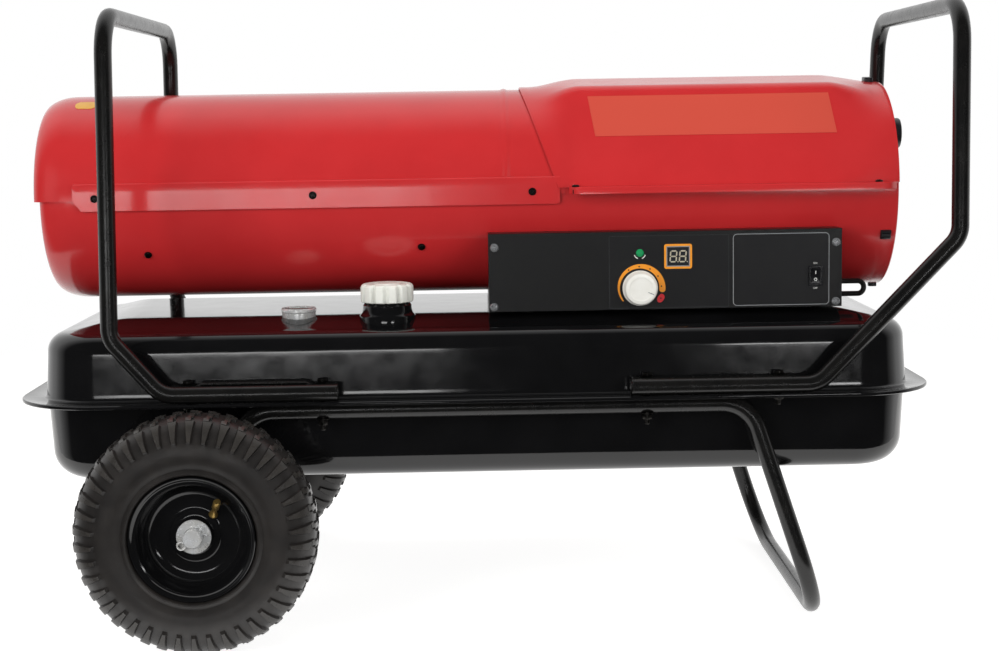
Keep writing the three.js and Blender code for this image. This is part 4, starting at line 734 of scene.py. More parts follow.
needle = swept_plate("gauge_pointer", [(-1.1, -2), (1.1, -2), (0.5, 12.5), (-0.5, 12.5)], 350.2, 350.8,
                     (*GAUGE_AT, 0))
finish(needle, "zinc", red_ink)
glass, tree = bare_material("flat_gauge_glass")
pane = add(tree, "BsdfPrincipled", {"Base Color": linear("#e9efec"), "Roughness": 0.05, "IOR": 1.5,
                                    "Transmission Weight": 0.95})
clear = add(tree, "BsdfTransparent", {"Color": (0.86, 0.9, 0.88, 1)})
passing = add(tree, "LightPath").outputs["Is Shadow Ray"]
through = add(tree, "MixShader", {0: passing, 1: pane.outputs[0], 2: clear.outputs[0]})
add(tree, "OutputMaterial", {"Surface": through.outputs[0]})
lens = [(0, 351.9), (16.2, 351.9), (16.2, 352.9), (15.4, 353.4), (0, 353.6)]
finish(turned("gauge_glass", lens, "Z", (*GAUGE_AT, 0), 48), "lens", glass, "fuel_gauge_lens")

PIVOT = Vector((*GAUGE_AT, 294.3))
FLOAT_DROP, FLOAT_ARM, ARM_R = math.radians(40), 120.0, 1.4
end = PIVOT - FLOAT_ARM * Vector((math.cos(FLOAT_DROP), 0, math.sin(FLOAT_DROP)))
arm = bar("arm", [PIVOT, end], ARM_R, 12)
pin = bar("pin", [PIVOT - Vector((0, 6.5, 0)), PIVOT + Vector((0, 6.5, 0))], ARM_R, 12)
ball = [(0, -22), (10, -22), (12.4, -20.5), (13, -18), (13, -0.6), (13.3, 0), (13, 0.6), (13, 18),
        (12.4, 20.5), (10, 22), (0, 22)]
finish(joined("brass_float_arm", arm, pin, turned("float", ball, "Y", end, 40)), "brass", brass,
       "fuel_float_arm", body="float")

# ---- barrel: lower shell --------------------------------------------------------------------
# Rolled steel half-duct, powder coated gloss red. The outlet end is curled in, and the intake
# half has a flange turned out along each side that the rear hood screws down to.
AXIS_Z, HOOD_R, SHELL_R = 477.5, 118.5, 117.0
NOSE_X, HOOD_NOSE_X, REAR_X, CURL, LIP_IN = -502.5, -508.5, 466.0, 34.0, 16.5
SHELL_TOP, LAP_Z, SEAM_Z = 484.5, 467.0, 484.8
red_paint = shaded("gloss_red_powder_coat", "#bf2c2e", "#b8282a", 70, (0.15, 0.22),
                   [(110, 0.4), (1.7, 0.008)], IOR=1.5, **{"Coat Weight": 0.15, "Coat Roughness": 0.06})


def nose_profile(r, nose, steps=9):
    """(x, radius) from inside the curled outlet edge to where the duct runs straight."""
    lip = r - LIP_IN
    turns = [math.pi / 2 * (1 - k / steps) for k in range(steps + 1)]
    curl = [(nose + CURL * (1 - math.sin(a)), lip + LIP_IN * math.cos(a)) for a in turns]
    return [(nose + 7, lip - 3.2), (nose + 2.5, lip - 3), (nose + 0.6, lip - 1.8)] + curl


def around(r, angle):
    """A point of the duct, with the angle measured from straight up towards the near side."""
    return (-r * math.sin(angle), AXIS_Z + r * math.cos(angle))


def duct_rows(profile, low, high, columns):
    """One row of points round the duct for each (x, radius), from one angle to another."""
    turns = [low + (high - low) * k / columns for k in range(columns + 1)]
    return [[(x, *around(r, angle)) for angle in turns] for x, r in profile]


seam = math.acos((SHELL_TOP - AXIS_Z) / SHELL_R)
straight = [(x, SHELL_R) for x in (-440, -300, -150, 0, 96, 99, 250, 400, 450, 455, 462)]
tail = [(464.9, SHELL_R + 0.3), (REAR_X, SHELL_R - 0.6)]
rows = duct_rows(nose_profile(SHELL_R, NOSE_X) + straight + tail, seam, 2 * math.pi - seam, 72)
shell = sheet_from("shell", rows, SHEET, inside=(0, 0, AXIS_Z))


def side_flange(name, z_top, thickness, inner, side, lip=0.0):
    """Flat flange with rounded ends: inner(x) is the shell at the seam, lip the turned-down edge."""
    stations = [(94, 1.5), (96, 5), (99, 9), (103, 11.5), (108, 12.6), (200, 12.6), (300, 12.6), (398, 12.6),
                (444, 12.6), (450, 11.6), (455, 8), (459, 3.5), (461, 1.2)]
    rows = []
    for x, out in stations:
        start = inner(x) - 1.2
        edge = 125.4 + out - (0 if lip else 2.6)
        row = [(x, side * (start + (edge - start) * k / 4), z_top) for k in range(5)]
        if lip:
            row += [(x, side * (edge + 0.9), z_top - 0.4), (x, side * (edge + 1.3), z_top - 1.4),
                    (x, side * (edge + 1.3), z_top - lip)]
        rows.append(row)
    return sheet_from(name, rows, thickness, inside=(250, side * 118, z_top - 60))


flanges = [side_flange("flange", SHELL_TOP, SHEET, lambda x: SHELL_R - 1, side) for side in (-1, 1)]
finish(joined("rolled_lower_shell", shell, *flanges), "red_paint", red_paint, "lower_shell")

# ---- barrel: front hood ---------------------------------------------------------------------
# The upper half of the outlet end, same sheet and paint. A flat strip along each lower edge
# laps over the lower shell and takes the screws; a swaged bead runs round near its rear end.
LAP_TOP, LAP_OUT, LAP_X0, LAP_X1 = 497.0, 120.3, -461.5, 84.0
TAIL_X, EDGE_SLANT = 96.0, 42.0  # the seam between the two hoods leans by the slant


def hood_rows():
    """The half duct with its bead; the last row is the tail, cut on a slant."""
    low = -math.acos((478 - AXIS_Z) / HOOD_R)
    profile = nose_profile(HOOD_R, HOOD_NOSE_X) + [(x, HOOD_R) for x in (-440, -300, -150, 0, 18)]
    bead = [(20, 0.25), (22, 1.1), (24, 1.5), (26, 1.1), (28, 0.25), (30, 0)]
    profile += [(x, HOOD_R + lift) for x, lift in bead] + [(TAIL_X, HOOD_R)]
    rows = duct_rows(profile, low, -low, 64)
    rows[-1] = [(TAIL_X - EDGE_SLANT * (z - AXIS_Z) / HOOD_R, y, z) for x, y, z in rows[-1]]
    return rows


def lap_strip(side):
    """Flat strip standing at the side of the duct, with its outlet end chamfered."""
    ends = {LAP_X0: (478.5, LAP_TOP - 1.2), LAP_X0 + 1: (477, LAP_TOP), LAP_X0 + 9.5: (LAP_Z, LAP_TOP)}
    rows = []
    for x in (LAP_X0, LAP_X0 + 1, LAP_X0 + 9.5, -437, -300, -193, -50, 53, 70, 80.5, 83, LAP_X1):
        low, high = ends.get(x, (LAP_Z + max(0, x - 81) * 0.6, LAP_TOP))
        row = [(x, side * (LAP_OUT - 3.6), high + 1.2), (x, side * (LAP_OUT - 1.2), high + 0.7),
               (x, side * (LAP_OUT - 0.2), high - 0.3)]
        row += [(x, side * LAP_OUT, low + (high - 1.2 - low) * k / 3) for k in (3, 2, 1, 0)]
        rows.append(row)
    return sheet_from("lap_strip", rows, 1.4, inside=(-180, 0, 480))


hood = sheet_from("hood", hood_rows(), SHEET, inside=(0, 0, AXIS_Z))
finish(joined("rolled_front_hood", hood, lap_strip(-1), lap_strip(1)), "red_paint", red_paint, "front_hood")

# ---- barrel: rear hood ----------------------------------------------------------------------
# Folded cover over the motor: its ends are round to meet the duct, and between them it is
# raised with sloping sides and a flat top. Gloss red, with a blank paler panel on each side.
REAR_R, COVER_X0, COVER_X1 = 120.9, 42, 466
FOLDS = ((126.0, 7.3), (70.0, 119.5), (0.0, 130.5))
# x, share of the folded shape, share of the slant
HOOD_STATIONS = ((COVER_X0, 0, 1), (64, 0.12, 0.85), (92, 0.8, 0.3), (106, 1, 0.1), (398, 1, 0),
                 (410, 0.85, 0), (450, 0.1, 0), (COVER_X1, 0, 0))


def folded_reach(angle):
    """Distance from the barrel's axis to the folded outline, at one angle from straight up."""
    across, up = abs(math.sin(angle)), math.cos(angle)
    for (ax, ay), (bx, by) in zip(FOLDS, FOLDS[1:]):
        cross = across * (by - ay) - up * (bx - ax)
        reach = (ax * (by - ay) - ay * (bx - ax)) / cross
        if min(ax, bx) - 1e-6 <= reach * across <= max(ax, bx) + 1e-6:
            return reach
    return FOLDS[0][0]


def soft_reach(angle):
    """The same with its folds rounded as a press brake leaves them."""
    spread = math.radians(2.2)
    return sum(folded_reach(angle + spread * k) for k in (-1, -0.5, 0, 0.5, 1)) / 5


def hood_station(x):
    """Shares of the folded shape and of the front edge's slant at one x."""
    for (x0, f0, s0), (x1, f1, s1) in zip(HOOD_STATIONS, HOOD_STATIONS[1:]):
        if x <= x1:
            t = (x - x0) / (x1 - x0)
            return f0 + (f1 - f0) * t, s0 + (s1 - s0) * t
    return HOOD_STATIONS[-1][1:]


def hood_point(x, angle, lift=0.0):
    """A point of the rear hood's outside, stood off by lift."""
    fold, slant = hood_station(x)
    if 50 < x < 460:  # blends the straight runs between stations
        fold = sum(hood_station(min(max(x + 4.0 * k, COVER_X0), COVER_X1))[0] for k in (-1, 0, 1)) / 3
    r = REAR_R + (soft_reach(angle) - REAR_R) * fold + lift
    return (x + slant * EDGE_SLANT * (1 - math.cos(angle)), *around(r, angle))


HOOD_LIMIT = math.acos((SEAM_Z - AXIS_Z) / REAR_R)
stations = (COVER_X0, 43.2, 46, 52, 58, 64, 71, 78, 85, 92, 97, 100, 103, 106, 109, 114, 125, 150, 200, 250,
            300, 350, 380, 390, 395, 398, 401, 405, 410, 418, 427, 436, 445, 452, 457, 461, 464.5, COVER_X1)
LIFTS = {COVER_X0: -0.5, 43.2: 0.4, 46: 0.5, COVER_X1: -0.3}  # a rolled front hem and a drawn-in rear edge
rows = [[hood_point(x, HOOD_LIMIT * (1 - 2 * k / 80), LIFTS.get(x, 0)) for k in range(81)] for x in stations]
cover = sheet_from("cover", rows, SHEET, inside=(260, 0, AXIS_Z))


def hood_at_seam(x):
    """Where the hood's side stands at the seam: the row whose end is nearest that x."""
    return min((abs(row[0][0] - x), abs(row[0][1])) for row in rows)[1]


flanges = [side_flange("flange", SEAM_Z + SHEET, SHEET, hood_at_seam, side, 8) for side in (-1, 1)]
finish(joined("folded_rear_hood", cover, *flanges), "red_paint", red_paint, "rear_hood")

# ---- combustion chamber and burner ----------------------------------------------------------
# Rolled stainless tube with a coned back and three pressed feet, darkened by heat. A flame disc
# stands in its mouth on three arms; the burner, brass nozzle and electrode are behind.
heated_steel = shaded("heat_tinted_stainless", "#8d8781", "#5f5148", 34, (0.28, 0.45), [(1.2, 0.02)],
                      Metallic=1.0)
burner_steel = shaded("scaled_burner_steel", "#77726c", "#4a4038", 12, (0.35, 0.55), [(1.0, 0.02)],
                      Metallic=1.0)
glazed = shaded("glazed_ceramic", "#efe9dd", "#e2dac8", 9, (0.12, 0.2), [(1.0, 0.004)], IOR=1.5)
CHAMBER_X0, CHAMBER_X1 = -480.0, 20.0
AXIS = (0, 0, AXIS_Z)
wall = [(92, CHAMBER_X0 + 0.6), (92, -455), (92.5, -453), (93.4, -450), (92.5, -447), (92, -445), (92, -22),
        (91, -19), (67, 19), (66, CHAMBER_X1), (48.6, CHAMBER_X1), (48.6, 19), (65, 19), (90, -20), (91, -23),
        (91, -445), (91, CHAMBER_X0 + 0.6), (91.5, CHAMBER_X0)]
liner = turned("liner", wall, "X", AXIS, 96)


def spun(thing, spin, about):
    """Turns a mesh about the X axis through a point; spin in degrees."""
    middle = Matrix.Translation(Vector(about) * MM)
    thing.data.transform(middle @ Matrix.Rotation(math.radians(spin), 4, "X") @ middle.inverted())
    return thing


def sheet_box(name, size, centre, spin=0.0, about=AXIS, ease=0.3):
    """A small block of sheet, eased, turned about the barrel's axis from straight up."""
    thing = eased(block(size, centre), ease)
    thing.name = thing.data.name = name
    return spun(thing, spin, about)


feet = [sheet_box("foot", (14, 2, 22.6), (x, 0, AXIS_Z + 103), spin) for x in (-433, -43)
        for spin in (180, 60, -60)]
finish(joined("stainless_chamber", liner, *feet), "stainless", heated_steel, "combustion_chamber")

dish = [(0, -471.2), (14, -471.4), (30, -472), (51, -472), (52, -471.2), (51.4, -470.4), (30, -470.6),
        (0, -469.8)]
arms = [sheet_box("arm", (1.5, 14, 40), (-471.2, 0, AXIS_Z + 70.4), spin) for spin in (0, 120, -120)]
finish(joined("flame_spreader", turned("dish", dish, "X", AXIS, 72), *arms), "stainless", heated_steel,
       "flame_disc")


def eased_solid(name, node, ease, slot, material, angle=32, body="heater_body"):
    """Finishes a piece whose shape is already right: its solid copied, merged and eased."""
    thing = cad[node].copy()
    thing.data = cad[node].data.copy()
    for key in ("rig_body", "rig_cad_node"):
        del thing[key]
    thing.parent = None
    bpy.context.scene.collection.objects.link(thing)
    thing.name = thing.data.name = name
    alone(thing)
    all_edit(lambda: bpy.ops.mesh.customdata_custom_splitnormals_clear(),
             lambda: bpy.ops.mesh.remove_doubles(threshold=2e-6),
             lambda: bpy.ops.mesh.dissolve_limited(angle_limit=math.radians(1.0)))
    modified(eased(thing, ease, 2, angle), "WEIGHTED_NORMAL", keep_sharp=True, weight=100)
    finish(thing, slot, material, node, body=body)


eased_solid("slotted_burner_head", "burner_head", 0.25, "stainless", burner_steel, 40)
jet = [(0, 2), (3.4, 2.6), (4, 4), (8.4, 11), (9, 12), (9, 46.6), (6, 46.7), (6, 66), (5.4, 67), (0, 67)]
finish(turned("brass_fuel_nozzle", jet, "X", AXIS, 36), "brass", brass, "fuel_nozzle")
rod = bar("rod", [(4, 20, AXIS_Z), (15, 20, AXIS_Z)], 1.0, 12)
core = bar("core", [(14, 20, AXIS_Z), (65, 20, AXIS_Z)], 2.5, 24)
collar = [(2.4, 41), (4.1, 41), (4.5, 41.5), (4.5, 46.2), (4.1, 46.7), (2.4, 46.7)]
finish(joined("ceramic_electrode", core, rod, turned("collar", collar, "X", (0, 20, AXIS_Z), 32)), "ceramic",
       glazed, "ignition_electrode")

# ---- motor, fan and air pump ----------------------------------------------------------------
# A black enamelled motor on a plated saddle drives the six-bladed pressed aluminium fan, and the
# die-cast air pump sits on its back.
pressed_aluminium = shaded("pressed_aluminium", "#b9bbbd", "#9a9c9e", 14, (0.3, 0.42), [(1.2, 0.02)],
                           Metallic=1.0)
cast_aluminium = shaded("die_cast_aluminium", "#a9abad", "#8f9193", 6, (0.42, 0.55), [(0.9, 0.05)],
                        Metallic=1.0)
shell_profile = [(6.3, 232), (21.4, 232), (22.4, 233), (24, 240), (50, 242), (53, 243.4), (55, 247),
                 (55, 262), (54.2, 263), (54.2, 264), (55, 265), (55, 350), (54.2, 351), (54.2, 352),
                 (55, 353), (55, 371), (54, 372), (6.3, 372)]
finish(turned("enamelled_fan_motor", shell_profile, "X", AXIS, 72), "black_paint", black_enamel, "fan_motor")
eased_solid("plated_motor_saddle", "motor_bracket", 0.3, "zinc", zinc_plate, 40)
spindle = [(0, 170), (5.4, 170), (6, 170.8), (6, 401.2), (5.4, 402), (0, 402)]
finish(turned("ground_motor_spindle", spindle, "X", AXIS, 32), "zinc", zinc_plate, "motor_shaft",
       body="fan_rotor")
FAN_MIDDLE, FAN_R, PITCH = 191.0, 108.0, math.radians(52)


def blade(spin):
    """Cambered sheet blade, narrow at the hub and wide at the tip."""
    rows = []
    for i in range(9):
        r = 17 + (FAN_R - 17) * i / 8
        width = 13 + 9 * math.sin(math.pi / 2 * i / 8)
        tip = 1 - 0.35 * max(0, (i - 6) / 2) ** 2
        row = []
        for k in range(9):
            t = -1 + 2 * k / 8
            u = t * width * tip
            camber = 3.0 * (1 - t * t)
            row.append((FAN_MIDDLE + u * math.cos(PITCH) + camber * math.sin(PITCH),
                        u * math.sin(PITCH) - camber * math.cos(PITCH), AXIS_Z + r))
        rows.append(row)
    return spun(sheet_from("blade", rows, 1.4, offset=0.0), spin, AXIS)


boss = [(6.3, 178), (18.5, 178), (20, 179.5), (20, 202.5), (18.5, 204), (6.3, 204)]
finish(joined("pressed_fan", turned("boss", boss, "X", AXIS, 48), *[blade(60 * k) for k in range(6)]),
       "aluminium", pressed_aluminium, "fan_blade", body="fan_rotor")
pump = [(18, 372.3), (45, 372.3), (46, 373.3), (46, 397), (44.8, 398.4), (41, 400), (40, 402.6), (40, 421),
        (38.6, 424), (33, 427.6), (31, 428), (12, 428), (11, 429.4), (0, 429.4), (0, 402.3), (18, 402.3)]
lugs = [sheet_box("lug", (24, 9, 10), (385, 0, AXIS_Z + 45), spin, ease=1.5) for spin in (45, 135, 225, 315)]
finish(joined("die_cast_air_pump", turned("pump", pump, "X", AXIS, 72), *lugs), "aluminium", cast_aluminium,
       "air_pump_housing")

# ---- intake guard and pressure gauge --------------------------------------------------------
# Welded wire guard, powder coated, with a plate for the gauge. The gauge is a small dial in a
# black moulded case.
GUARD_X, GUARD_OUT, WIRE_R = 458.5, 115.1, 1.5


def circle(u, v, r, count):
    """Points round a circle, from its right-hand end."""
    turns = [2 * math.pi * k / count for k in range(count)]
    return [(u + r * math.cos(a), v + r * math.sin(a)) for a in turns]


wires = []
for step in (0, 16, 31.7, 48, 63.4, 79):
    route = [(GUARD_X, y, z) for y, z in circle(0, AXIS_Z, GUARD_OUT - WIRE_R - step, 96)]
    wires.append(bar("ring", route, WIRE_R, 12, loop=True))
for k in range(8):
    a = math.radians(45 * (k + 0.5))
    ends = [(GUARD_X + 1.2, r * math.cos(a), AXIS_Z + r * math.sin(a)) for r in (12, GUARD_OUT - WIRE_R)]
    wires.append(bar("spoke", ends, WIRE_R, 12))
boss = [(0, 457), (14.4, 457), (15, 457.6), (15, 460.6), (14.4, 461.2), (0, 461.2)]
PRESSURE = (0, -60, 538.5)
plate = [(5.3, 457), (17.5, 457), (17.5, 460), (5.3, 460)]
finish(joined("welded_intake_guard", *wires, turned("hub", boss, "X", AXIS, 40),
              turned("plate", plate, "X", PRESSURE, 40)), "black_paint", black_powder, "rear_guard")
black_nylon = shaded("moulded_black_nylon", "#17171a", "#202023", 8, (0.3, 0.42), [(0.9, 0.02)], IOR=1.53)
case = [(0, 436.3), (5, 436.3), (5, 460.3), (16.9, 460.3), (17.5, 461), (17.5, 476.6), (16.6, 478.3),
        (15.4, 478.3), (15, 476.8), (0, 476.8)]
finish(turned("moulded_gauge_case", case, "X", PRESSURE, 56), "black_plastic", black_nylon, "pressure_gauge")
face = turned("pressure_dial", [(0, 476.9), (14.8, 476.9), (14.8, 477.3), (0, 477.3)], "X", PRESSURE, 48)
finish(face, "white_plastic", dial_card)
gauge_y, gauge_z = PRESSURE[1:]
marks = [sheet_box("mark", (0.3, 0.7, 2.6), (477.5, gauge_y, gauge_z + 12.2), spin, PRESSURE, 0.05)
         for spin in range(-135, 136, 30)]
hand = sheet_box("hand", (0.3, 0.9, 11), (477.7, gauge_y, gauge_z + 4), -40, PRESSURE, 0.05)
black_ink = shaded("black_dial_ink", "#1a1a1a", "#242424", 3, (0.4, 0.5), [(0.6, 0.003)], IOR=1.5)
finish(joined("pressure_dial_marks", *marks, hand), "black_plastic", black_ink)

# ---- barrel screws and fittings -------------------------------------------------------------
# Black cross-recessed screws hold the hoods; a clip, a top block and a foot stud of black nylon
# are pushed into the sheet near the intake.


def cross_screw(name, r, h):
    """A pan head with a cross recess, drawn at the origin and pointing up."""
    shank = 3.0
    dome = [(0, -shank), (r * 0.45, -shank), (r * 0.45, 0), (r * 0.94, 0), (r, h * 0.18),
            (r * 0.97, h * 0.45), (r * 0.82, h * 0.78), (r * 0.55, h * 0.95), (0, h)]
    head = turned(name, dome, "Z", (0, 0, 0), 28)
    for u, v in ((r * 1.3, r * 0.32), (r * 0.32, r * 1.3)):
        cut_by(head, block((u, v, h * 1.1), (0, 0, h)))
    bpy.ops.object.shade_smooth_by_angle(angle=SMOOTH)
    return head


def stood(thing, place, facing, spin=0.0):
    """Stands a mesh drawn at the origin, pointing up, at place and pointing along facing."""
    turn = Vector(facing).to_track_quat("Z", "Y").to_matrix().to_4x4()
    thing.data.transform(Matrix.Translation(Vector(place) * MM) @ turn @ Matrix.Rotation(spin, 4, "Z"))
    return thing


def placed(pattern, place, facing, spin):
    """A copy of a pattern with its own mesh, stood at its place."""
    thing = pattern.copy()
    thing.data = pattern.data.copy()
    bpy.context.scene.collection.objects.link(thing)
    return stood(thing, place, facing, spin)


pattern = cross_screw("screw", 4.4, 2.5)
screws = []
for side in (-1, 1):
    for n, x in enumerate((-437, -193, 53)):
        screws.append(placed(pattern, (x, side * LAP_OUT, 481), (0, side, 0), 0.3 + n))
    for n, (x, z) in enumerate(((-383, 416), (-73, 420))):
        y = side * math.sqrt(SHELL_R ** 2 - (z - AXIS_Z) ** 2)
        screws.append(placed(pattern, (x, y, z), (0, y, z - AXIS_Z), 0.6 + n))
    for n, x in enumerate((101, 440)):
        screws.append(placed(pattern, (x, side * 132.5, SEAM_Z + SHEET), (0, 0, 1), 0.9 + n))
        screws.append(hexagon(7, 477.8, 483.2, x, side * 132.5))
bpy.data.objects.remove(pattern)
black_zinc = shaded("black_passivated_screw", "#1d1c1c", "#3a3836", 2, (0.22, 0.38), [(0.6, 0.006)],
                    Metallic=0.9)
finish(joined("barrel_screws", *screws), "black_plastic", black_zinc)


def nylon_block(name, size, centre, facing, grooves=0):
    """A moulded block standing on the barrel, with grooves across its face."""
    thing = sheet_box(name, size, (0, 0, 0), about=(0, 0, 0), ease=1.0)
    for k in range(grooves):
        offset = (k - (grooves - 1) / 2) * size[1] * 0.42
        cut_by(thing, block((size[0] * 0.72, size[1] * 0.14, 3), (0, offset, size[2] / 2)))
    return stood(thing, centre, facing)


CLIP_DROP = 52.0  # below the barrel's axis
clip_y = math.sqrt(SHELL_R ** 2 - CLIP_DROP ** 2)
blocks = [nylon_block("clip", (12, 11, 5), (454, -clip_y - 0.4, 425.2), (0, -clip_y, -CLIP_DROP), 2),
          nylon_block("top", (10, 16, 7), (453, -8, 600.5), (0, -8, 120)),
          nylon_block("stud", (9, 9, 6), (461, -6, 359.4), (0, -6, -117))]
finish(joined("nylon_fittings", *blocks), "black_plastic", black_nylon)

# Blank vinyl: a paler panel on each sloping side and a small yellow patch near the outlet.
vinyl_red = shaded("pale_red_vinyl", "#c54a3b", "#c4493a", 60, (0.3, 0.33), [(1.5, 0.004)], IOR=1.5)
PANEL_X0, PANEL_L, PANEL_Z0, PANEL_H = 118.0, 275.5, 541.0, 45.0


def side_panel(name, side):
    """A thin sheet lying on the hood's sloping side between its folds, both ends cut on a slant."""
    low_fold, high_fold = FOLDS[0][0], FOLDS[1][0]
    slope_height = FOLDS[1][1] - FOLDS[0][1]
    rows = []
    for column in range(13):
        row = []
        for k in range(7):
            z = PANEL_Z0 + PANEL_H * k / 6
            x = PANEL_X0 + PANEL_L * column / 12 + (6 * (1 - k / 6) if column in (0, 12) else 0)
            out = low_fold + (high_fold - low_fold) * (z - SEAM_Z) / slope_height
            row.append(hood_point(x, -side * math.atan2(out, z - AXIS_Z), 0.35))
        rows.append(row)
    finish(sheet_from(name, rows, 0.5, inside=AXIS), "red_paint", vinyl_red)


for where, side in SIDES:
    side_panel(f"{where}_blank_panel", side)
vinyl_yellow = shaded("yellow_vinyl", "#d9a23c", "#cf9836", 20, (0.3, 0.4), [(1.5, 0.004)], IOR=1.5)
patch = []
for i in range(7):
    angle = math.asin(40 / HOOD_R) + math.radians(9) * i / 6
    half = 12 - 0.16 * abs(i - 3) ** 3
    patch.append([(-457 + half * k / 3, *around(HOOD_R + 0.5, angle)) for k in (-3, -1, 1, 3)])
finish(sheet_from("yellow_blank_patch", patch, 0.4, inside=AXIS), "red_paint", vinyl_yellow)

# ---- base housing and rails -----------------------------------------------------------------
# Folded steel housing that the barrel lies in, standing on two channel rails. Satin black.
satin_black = shaded("satin_black_powder_coat", "#111112", "#161616", 20, (0.34, 0.42), [(1.1, 0.018)],
                     IOR=1.5)
eased_solid("folded_base_housing", "control_box", 0.8, "black_paint", satin_black)
for where in ("front", "rear"):
    eased_solid(f"{where}_channel_rail", f"{where}_support_rail", 0.5, "black_paint", black_powder)

# ---- control panel --------------------------------------------------------------------------
# Steel cover plate with its edges rolled back, held by four nickel plated pan-head screws. Two
# printed overlays carry the controls, with plain marks and no words but those of the switch.
FACE_Y = -140.9
KNOB = (171.2, 372.3)
eased_solid("rolled_control_cover", "control_cover", 0.7, "black_paint", satin_black)
overlay_black = shaded("matt_black_overlay", "#121214", "#161617", 25, (0.36, 0.44), [(0.8, 0.006)], IOR=1.5)
# pale grey print, also laid on the knob as the pointer groove's painted shade
grey_print_and_groove_shade = shaded("pale_grey_print_and_painted_groove_shade", "#8f9192", "#84878a", 4, (0.4, 0.5), [(0.6, 0.002)], IOR=1.5)


def rounded_box(x0, x1, z0, z1, r, steps=5):
    """Outline of a rounded rectangle on the panel, anticlockwise as seen from the near side."""
    ring = []
    for quarter, (cx, cz) in enumerate(((x1 - r, z1 - r), (x0 + r, z1 - r), (x0 + r, z0 + r),
                                        (x1 - r, z0 + r))):
        for k in range(steps + 1):
            a = math.pi / 2 * (quarter + k / steps)
            ring.append((cx + r * math.cos(a), cz + r * math.sin(a)))
    return ring


def on_panel(name, outline, rise, thickness):
    """A flat piece on the panel's face, standing rise off it."""
    return swept_plate(name, outline, rise, rise + thickness, (0, FACE_Y, 0), axis="Y")


def flat_band(name, outer, inner, rise, thickness):
    """A band on the panel between two outlines with the same number of points."""
    rows = [[(x, FACE_Y - depth, z) for x, z in edge] for edge, depth in
            ((outer, rise), (outer, rise + thickness), (inner, rise + thickness), (inner, rise))]
    return tidied(shaped_grid(name, rows + rows[:1]))


def frame_line(name, x0, x1, z0, z1, r, width, rise, thickness):
    """A rounded frame: an outline with an inner one bridged to it."""
    outer = rounded_box(x0, x1, z0, z1, r)
    inner = rounded_box(x0 + width, x1 - width, z0 + width, z1 - width, max(r - width, 0.3))
    return flat_band(name, outer + outer[:1], inner + inner[:1], rise, thickness)


FILM = 0.22  # thickness of the overlays
left = on_panel("control_overlay", rounded_box(136.5, 271, 349.2, 431, 1), 0, FILM)
cut_by(left, cylinder(24, 3.4, 6, (KNOB[0], FACE_Y, KNOB[1]), math.pi / 2))  # lets the knob's stem through
finish(left, "black_plastic", overlay_black)
right = on_panel("blank_plate_overlay", rounded_box(274, 384, 349.2, 432, 5), 0, FILM)
finish(right, "black_plastic", overlay_black)
dark_line = shaded("dark_grey_print", "#3b3c3e", "#343537", 4, (0.4, 0.5), [(0.6, 0.002)], IOR=1.5)
finish(frame_line("control_border", 136.9, 270.6, 349.6, 430.6, 1, 0.35, 0.2, 0.08), "black_plastic",
       dark_line)
finish(frame_line("plate_border", 275.2, 383, 350.4, 431, 4.5, 0.7, 0.2, 0.08), "black_plastic", grey_print_and_groove_shade)

pattern = cross_screw("screw", 4.9, 3.2)
screws = [placed(pattern, (x, FACE_Y, z), (0, -1, 0), turn) for x, z, turn in
          ((9, 420, 0.4), (7.8, 353.6, 1.1), (390.6, 420, 0.2), (390.4, 353.6, 0.9))]
bpy.data.objects.remove(pattern)
dark_nickel = shaded("dark_nickel_plate", "#a0a2a4", "#7d7f81", 3, (0.2, 0.3), [(1.0, 0.004)], Metallic=0.6)
finish(joined("panel_screws", *screws), "zinc", dark_nickel)

# Dial marks: a tapering orange band with five dots, and a red stop mark with a sixth.
orange_ink = shaded("orange_print", "#e8921e", "#dd8a1c", 8, (0.36, 0.45), [(0.8, 0.003)], IOR=1.5)
red_print = shaded("red_print", "#d2262e", "#c3222a", 5, (0.36, 0.45), [(0.8, 0.003)], IOR=1.5)


def by_knob(reach, angle):
    """A point on the panel, at a reach from the knob's middle."""
    return (KNOB[0] + reach * math.cos(angle), KNOB[1] + reach * math.sin(angle))


def dial_band():
    """Widens clockwise round the knob and ends in a round nose."""
    outer, inner = [], []
    for k in range(49):
        t = k / 48
        a = math.radians(218 - 222 * t)
        width = 1.4 + 5.6 * t ** 0.9
        middle = 23.6 + 1.4 * t
        outer.append(by_knob(middle + width / 2, a))
        inner.append(by_knob(middle - width / 2, a))
    a = math.radians(-4)
    x, z = by_knob(25, a)
    turns = [a - math.pi * k / 8 for k in range(1, 8)]
    nose = [by_knob(28.5, a), *[(x + 3.5 * math.cos(turn), z + 3.5 * math.sin(turn)) for turn in turns],
            by_knob(21.5, a)]
    return joined("orange_dial_band", flat_band("dial_band", outer, inner, 0.2, 0.14),
                  on_panel("nose", nose, 0.2, 0.14))


finish(dial_band(), "white_plastic", orange_ink)
STOP = math.radians(-27)
dots = [by_knob(24, math.radians(angle)) for angle in (122, 92, 62, 33, 4)] + [by_knob(26, STOP)]
dots = [on_panel("dot", circle(x, z, 0.9, 16), 0.3, 0.12) for x, z in dots]
finish(joined("dial_dots", *dots), "black_plastic", black_ink)
x, z = by_knob(26, STOP)
turns = [(t, 1 + 0.18 * math.sin(2 * t)) for t in [2 * math.pi * k / 24 for k in range(24)]]
ring = [(x + 4.0 * math.cos(t) * bulge, z + 4.7 * math.sin(t) * bulge) for t, bulge in turns]
finish(on_panel("red_stop_mark", ring, 0.2, 0.12), "white_plastic", red_print)

# Thermostat knob: turned-looking moulding in white ABS with fine ribs and one pointer groove, not cut: a grey
# strip on top is its painted shade.
white_abs = shaded("white_moulded_abs", "#e9e8e2", "#dfddd5", 18, (0.3, 0.38), [(1.2, 0.008)], IOR=1.54)


